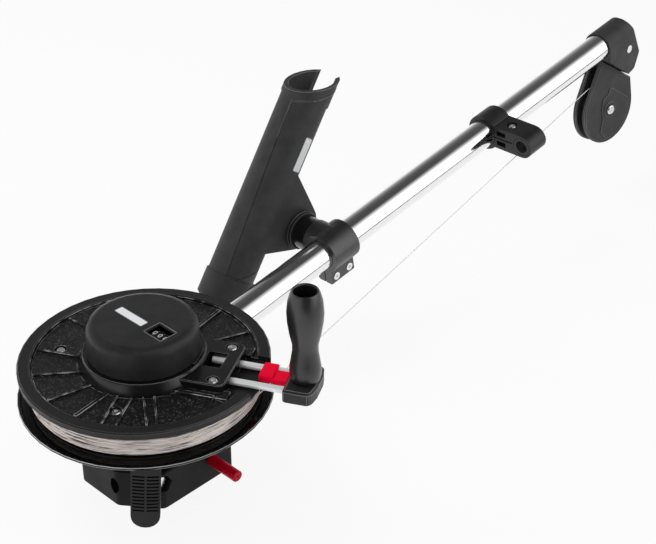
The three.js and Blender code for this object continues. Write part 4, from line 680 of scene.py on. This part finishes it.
# %% The painted edge highlights
HUB_END = 24 * MM
LIP_WIDTH = 0.8 * MM
LIP_DROP = 4 * MM
MOUTH_DEPTH = 25 * MM
LIP_ANGLE, BLOCK_ANGLE, SHARP_ANGLE = 12, 15, 30
lip_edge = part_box("lower_flange")[1]
mouth_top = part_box("rod_holder")[1].z
edge_lines("upper_flange", "rib_lines", "rib_highlight", 0.34, lambda p: (
    HUB_END < from_axis(p) < BAND_START and p.z > SPOOL_TOP - RECESS_DEPTH))
edge_lines("upper_flange", "rim_lines", "edge_highlight_black", 0.3, lambda p: (
    from_axis(p) > BAND_START and p.z > SPOOL_TOP - RECESS_DEPTH))
edge_lines("crank_plate", "plate_lines", "edge_highlight_gloss", 0.22, lambda p: p.z > SPOOL_TOP)
# A thin light ring along the lower flange's lip: a painted highlight.
edge_lines("lower_flange", "lip_line", "lip_highlight", 0.4, lambda p: (
    from_axis(p) > lip_edge.x - LIP_WIDTH and p.z > lip_edge.z - LIP_DROP), LIP_ANGLE)
edge_lines("handle_block", "block_lines", "edge_highlight_gloss", 0.35, anywhere, BLOCK_ANGLE)
edge_lines("rod_holder", "mouth_lines", "edge_highlight_gloss", 0.35,
           lambda p: p.z > mouth_top - MOUTH_DEPTH, SHARP_ANGLE)
edge_lines("holder_lock_ring", "ring_lines", "edge_highlight_gloss", 0.25, anywhere)
for cheek in ("pulley_front_cheek", "pulley_back_cheek"):
    edge_lines(cheek, cheek + "_lines", "edge_highlight_gloss", 0.4, anywhere, SHARP_ANGLE)

# %% [markdown]
# ## A kit for recipes
# The winding is grown by Geometry Nodes. Its recipe is a tree with named inputs, so one number
# can be changed and the whole winding follows. The result is made into a plain mesh before the
# piece joins the frame.


# %% Building and running a recipe
class Recipe:
    """A Geometry Nodes tree with named numbers as its inputs."""

    def __init__(self, name, **numbers):
        self.tree = bpy.data.node_groups.new(name, "GeometryNodeTree")
        self.tree.is_modifier = True
        sockets = self.tree.interface
        sockets.new_socket("Geometry", in_out="INPUT", socket_type="NodeSocketGeometry")
        for label, value in numbers.items():
            kind = "NodeSocketInt" if isinstance(value, int) else "NodeSocketFloat"
            made = sockets.new_socket(label, in_out="INPUT", socket_type=kind)
            made.default_value = value
        sockets.new_socket("Geometry", in_out="OUTPUT", socket_type="NodeSocketGeometry")
        self.numbers = self.tree.nodes.new("NodeGroupInput").outputs
        self.end = self.tree.nodes.new("NodeGroupOutput").inputs[0]

    def node(self, kind, settings=(), **inputs):
        """Each input is a socket, a number, a vector, or the name of one of the numbers."""
        made = self.tree.nodes.new(kind)
        for label, value in settings:
            setattr(made, label, value)
        for label, value in inputs.items():
            socket = made.inputs[label.replace("_", " ")]
            if isinstance(value, str):
                self.tree.links.new(self.numbers[value], socket)
            elif isinstance(value, bpy.types.NodeSocket):
                self.tree.links.new(value, socket)
            else:
                socket.default_value = value
        return made.outputs

    def finish(self, geometry, look):
        real = self.node("GeometryNodeRealizeInstances", Geometry=geometry)[0]
        painted = self.node("GeometryNodeSetMaterial", Geometry=real, Material=LOOKS[look])[0]
        self.tree.links.new(painted, self.end)


def grow(name, recipe, **values):
    """Runs a recipe with these values, and hands back its result as a plain object."""
    made = place_mesh(name, bpy.data.meshes.new(name))
    modifier = made.modifiers.new("recipe", "NODES")
    modifier.node_group = recipe.tree
    for item in recipe.tree.interface.items_tree:
        if item.in_out == "INPUT" and item.name in values:
            modifier[item.identifier] = values[item.name]
    settle(made)
    print(name, "triangles:", sum(len(p.vertices) - 2 for p in made.data.polygons))
    return made


# %% [markdown]
# ## Wound cable
# The winding is one cable that climbs round the drum. A spiral curve is its path, and a small
# circle swept along it is the cable. A slow noise moves the path a little, because no cable lies
# perfectly even, and that is what breaks the highlight into strands.

# %% The winding
FIRST_TURN, FIRST_CROSSING = 0.6 * MM, 1.6 * MM
winding = Recipe("winding", Radius=0.0998, Height=0.0212, Turns=20.0, Wire=0.00056,
                 Sides=6, Steps=96, Wander=0.0003)
spiral = winding.node("GeometryNodeCurveSpiral", Resolution="Steps", Rotations="Turns",
                      Start_Radius="Radius", End_Radius="Radius", Height="Height")[0]
unevenness = winding.node("ShaderNodeTexNoise", Scale=28.0, Detail=2.0)[1]
middled = winding.node("ShaderNodeVectorMath", (("operation", "SUBTRACT"),),
                       Vector=unevenness)[0]
middled.node.inputs[1].default_value = (0.5, 0.5, 0.5)
shift = winding.node("ShaderNodeVectorMath", (("operation", "SCALE"),), Vector=middled,
                     Scale="Wander")[0]
laid = winding.node("GeometryNodeSetPosition", Geometry=spiral, Offset=shift)[0]
section = winding.node("GeometryNodeCurvePrimitiveCircle", Resolution="Sides",
                       Radius="Wire")[0]
swept = winding.node("GeometryNodeCurveToMesh", Curve=laid, Profile_Curve=section,
                     Fill_Caps=True)[0]
winding.finish(winding.node("GeometryNodeSetShadeSmooth", Geometry=swept)[0], "wound_steel")
winding_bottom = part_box("cable_winding")[0].z
strands = grow("wound_strands", winding)
strands.data.transform(Matrix.Translation((0, 0, winding_bottom + FIRST_TURN)))
join_frame(strands, "cable_winding")
crossing = grow("crossing_strands", winding, Radius=0.1007, Height=0.019, Turns=6.0,
                Wander=0.0016)
crossing.data.transform(Matrix.Translation((0, 0, winding_bottom + FIRST_CROSSING)))
rides_with(crossing, "cable_winding")

# %% [markdown]
# ## The cable's free run
# From the winding the cable runs taut to the pulley, where it turns in between the cheeks and
# lies down on the sheave. It is one smooth curve whose short bend at the cheeks' mouth has a
# radius of several cable widths.

# %% The run
CABLE_WIDTH = 1.0 * MM
RUN_START = Vector((19.99, -99.10, 119.70)) * MM
RUN_MOUTH = Vector((737.14, 45.55, 138.14)) * MM
RUN_END = Vector((767.10, 43.40, 138.17)) * MM
BEND_REACH, BEND_STEPS = 6 * MM, 10


def bent_path(start, corner, end, reach, steps):
    """Straight to near the corner, round it on a curve, and straight on."""
    before = corner + (start - corner).normalized() * reach
    after = corner + (end - corner).normalized() * reach
    points = [start.lerp(before, i / steps) for i in range(steps)]
    for i in range(steps + 1):
        t = i / steps
        points.append(before * (1 - t) ** 2 + corner * (2 * t * (1 - t)) + after * t ** 2)
    return points + [after.lerp(end, i / steps) for i in range(1, steps + 1)]


run_points = bent_path(RUN_START, RUN_MOUTH, RUN_END, BEND_REACH, BEND_STEPS)
run_curve = bpy.data.curves.new("cable_line", "CURVE")
run_curve.dimensions = "3D"
run_curve.bevel_depth = CABLE_WIDTH / 2
run_curve.bevel_resolution = 2
run_curve.use_fill_caps = True
spline = run_curve.splines.new("POLY")
spline.points.add(len(run_points) - 1)
for place, point in zip(spline.points, run_points):
    place.co = (*point, 1)
run_curve.materials.append(LOOKS["cable_line"])
run = bpy.data.objects.new("cable_line", run_curve)
bpy.context.scene.collection.objects.link(run)
join_frame(run, "cable_run")

# %% [markdown]
# ## Plates, window and digits
# The cap and the rod holder each carry a thin bare plate, light against the dark moulding. The
# cap's window has a thin light lip, a painted highlight of the moulding's edge, and behind it
# three black wheels carry white digits, bent onto the wheels so that the whole row turns with
# them.


# %% Outlines and slabs
def round_outline(half_x, half_y, radius, steps=6):
    points = []
    for quarter, (side_x, side_y) in enumerate(((1, 1), (-1, 1), (-1, -1), (1, -1))):
        for i in range(steps + 1):
            angle = (quarter + i / steps) * math.pi / 2
            points.append((side_x * (half_x - radius) + radius * math.cos(angle),
                           side_y * (half_y - radius) + radius * math.sin(angle)))
    return points


def slab(name, outer, low, high, inner=None):
    """A flat plate between two heights, or a ring where it has an inner outline."""
    shape = bmesh.new()
    rings = []
    for outline, height in ((outer, low), (outer, high)) + (
            ((inner, high), (inner, low)) if inner else ()):
        rings.append([shape.verts.new((x, y, height)) for x, y in outline])
    count = len(outer)
    pairs = list(zip(rings, rings[1:] + ([rings[0]] if inner else [])))
    for first, second in pairs:
        for i in range(count):
            j = (i + 1) % count
            shape.faces.new((first[i], first[j], second[j], second[i]))
    if not inner:
        shape.faces.new(rings[1])
        shape.faces.new(rings[0][::-1])
    bmesh.ops.recalc_face_normals(shape, faces=shape.faces)
    mesh = bpy.data.meshes.new(name)
    shape.to_mesh(mesh)
    shape.free()
    return place_mesh(name, mesh)


def cut_across(made, axis, places):
    """Cuts a mesh across one axis at each place, so that it can be bent there."""
    shape = bmesh.new()
    shape.from_mesh(made.data)
    normal = Vector([1 if i == axis else 0 for i in range(3)])
    for place in places:
        bmesh.ops.bisect_plane(shape, geom=shape.verts[:] + shape.edges[:] + shape.faces[:],
                               plane_co=normal * place, plane_no=normal)
    shape.to_mesh(made.data)
    shape.free()
    return made


def bare_plate(name, half_x, half_y, radius):
    """A light plate with a darker rim round it, lying on its own plane."""
    made = slab(name, round_outline(half_x, half_y, radius), 0, PLATE_THICKNESS)
    shape = bmesh.new()
    shape.from_mesh(made.data)
    top = [f for f in shape.faces if f.normal.z > 0.9]
    rim = bmesh.ops.inset_region(shape, faces=top, thickness=0.7 * MM, depth=0)["faces"]
    for face in shape.faces:
        face.material_index = 0 if face in top else 1
    shape.to_mesh(made.data)
    shape.free()
    made.data.materials.append(LOOKS["plate_paint"])
    made.data.materials.append(LOOKS["window_edge"])
    print(name, "rim faces:", len(rim))
    return made


# %% The cap's plate and window
PLATE_THICKNESS, PLATE_CORNER = 0.35 * MM, 1.6 * MM
PLATE_PLACE = (-3.3 * MM, 10.2 * MM)
WINDOW_PLACE = (-1.2 * MM, -25.2 * MM)
LIP_THICKNESS = 0.25 * MM
SUNK = 0.05 * MM
cap_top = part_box("counter_cover")[1].z - SUNK
cap_plate = bare_plate("cap_plate", 4.5 * MM, 17.75 * MM, PLATE_CORNER)
cap_plate.data.transform(Matrix.Translation((*PLATE_PLACE, cap_top)))
rides_with(cap_plate, "counter_cover")

# The window's light lip is a painted highlight along the moulding's edge.
window_lip = slab("window_lip", round_outline(9.2 * MM, 11.2 * MM, 1.2 * MM), 0, LIP_THICKNESS,
                  round_outline(8.7 * MM, 10.7 * MM, 0.8 * MM))
window_lip.data.materials.append(LOOKS["window_edge"])
window_lip.data.transform(Matrix.Translation((*WINDOW_PLACE, cap_top)))
rides_with(window_lip, "counter_cover")
print("cap's top in mm:", round(cap_top / MM, 1))

# %% [markdown]
# Each wheel carries the figures 0 to 9, a tenth of a turn apart. A figure starts flat and is
# bent onto the wheel, and the whole row is one mesh that turns with its wheel.

# %% The counter's digits
DIGITS = 10
WHEEL_RADIUS = 11 * MM
WHEEL_AXIS = Vector((-1.2, 0, 160.3)) * MM
DIGIT_HEIGHT = 5.2 * MM
CAPITAL_SHARE = 0.7
DIGIT_LIFT = 0.05 * MM


def digit_mesh(figure):
    text = bpy.data.curves.new("figure", "FONT")
    text.body = str(figure)
    text.size = DIGIT_HEIGHT / CAPITAL_SHARE
    text.align_x = "CENTER"
    text.resolution_u = 3
    text.extrude = 0.06 * MM
    carrier = bpy.data.objects.new("figure", text)
    bpy.context.scene.collection.objects.link(carrier)
    graph = bpy.context.evaluated_depsgraph_get()
    mesh = bpy.data.meshes.new_from_object(carrier.evaluated_get(graph))
    bpy.data.objects.remove(carrier)
    return mesh


figures = [digit_mesh(figure) for figure in range(DIGITS)]
for node in ("counter_wheel_hundreds", "counter_wheel_tens", "counter_wheel_units"):
    low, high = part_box(node)
    middle = (low.y + high.y) / 2
    shape = bmesh.new()
    for place, mesh in enumerate(figures):
        figure = bmesh.new()
        figure.from_mesh(mesh)
        for vert in figure.verts:
            x, y, z = vert.co
            angle = place * math.pi / 5 + (y - DIGIT_HEIGHT / 2) / WHEEL_RADIUS
            far = WHEEL_RADIUS + DIGIT_LIFT + z
            vert.co = (WHEEL_AXIS.x + far * math.sin(angle), middle - x,
                       WHEEL_AXIS.z + far * math.cos(angle))
        part = bpy.data.meshes.new("figure")
        figure.to_mesh(part)
        figure.free()
        shape.from_mesh(part)
    row = bpy.data.meshes.new(node + "_figures")
    shape.to_mesh(row)
    shape.free()
    row.materials.append(LOOKS["white_plastic"])
    rides_with(place_mesh(node + "_figures", row), node)
print("figures on each wheel:", len(figures))

# %% [markdown]
# The holder's plate lies on a round tube, so it is cut into strips and bent round the tube's
# axis.

# %% The rod holder's plate
HOLDER_MOUTH = Vector((322.5, 112, 259)) * MM
HOLDER_TILT = math.radians(33.7)
HOLDER_RADIUS = 24.7 * MM
PLATE_DOWN = 72.5 * MM
BENDS = 6
holder_up = Vector((math.sin(HOLDER_TILT), 0, math.cos(HOLDER_TILT)))
holder_across = Vector((math.cos(HOLDER_TILT), 0, -math.sin(HOLDER_TILT)))
half_arc = math.radians(13.5) * HOLDER_RADIUS
arc_middle = math.radians(-84.5)
holder_plate = bare_plate("holder_plate", half_arc, 18.5 * MM, PLATE_CORNER)
cut_across(holder_plate, 0, [half_arc * i / BENDS for i in range(1 - BENDS, BENDS)])
for vert in holder_plate.data.vertices:
    around, along, out = vert.co
    angle = arc_middle + around / HOLDER_RADIUS
    facing = holder_across * math.cos(angle) + Vector((0, 1, 0)) * math.sin(angle)
    vert.co = (HOLDER_MOUTH - holder_up * (PLATE_DOWN - along)
               + facing * (HOLDER_RADIUS - SUNK + out))
rides_with(holder_plate, "rod_holder")
print("plate's width round the tube in mm:", round(2 * half_arc / MM, 1))
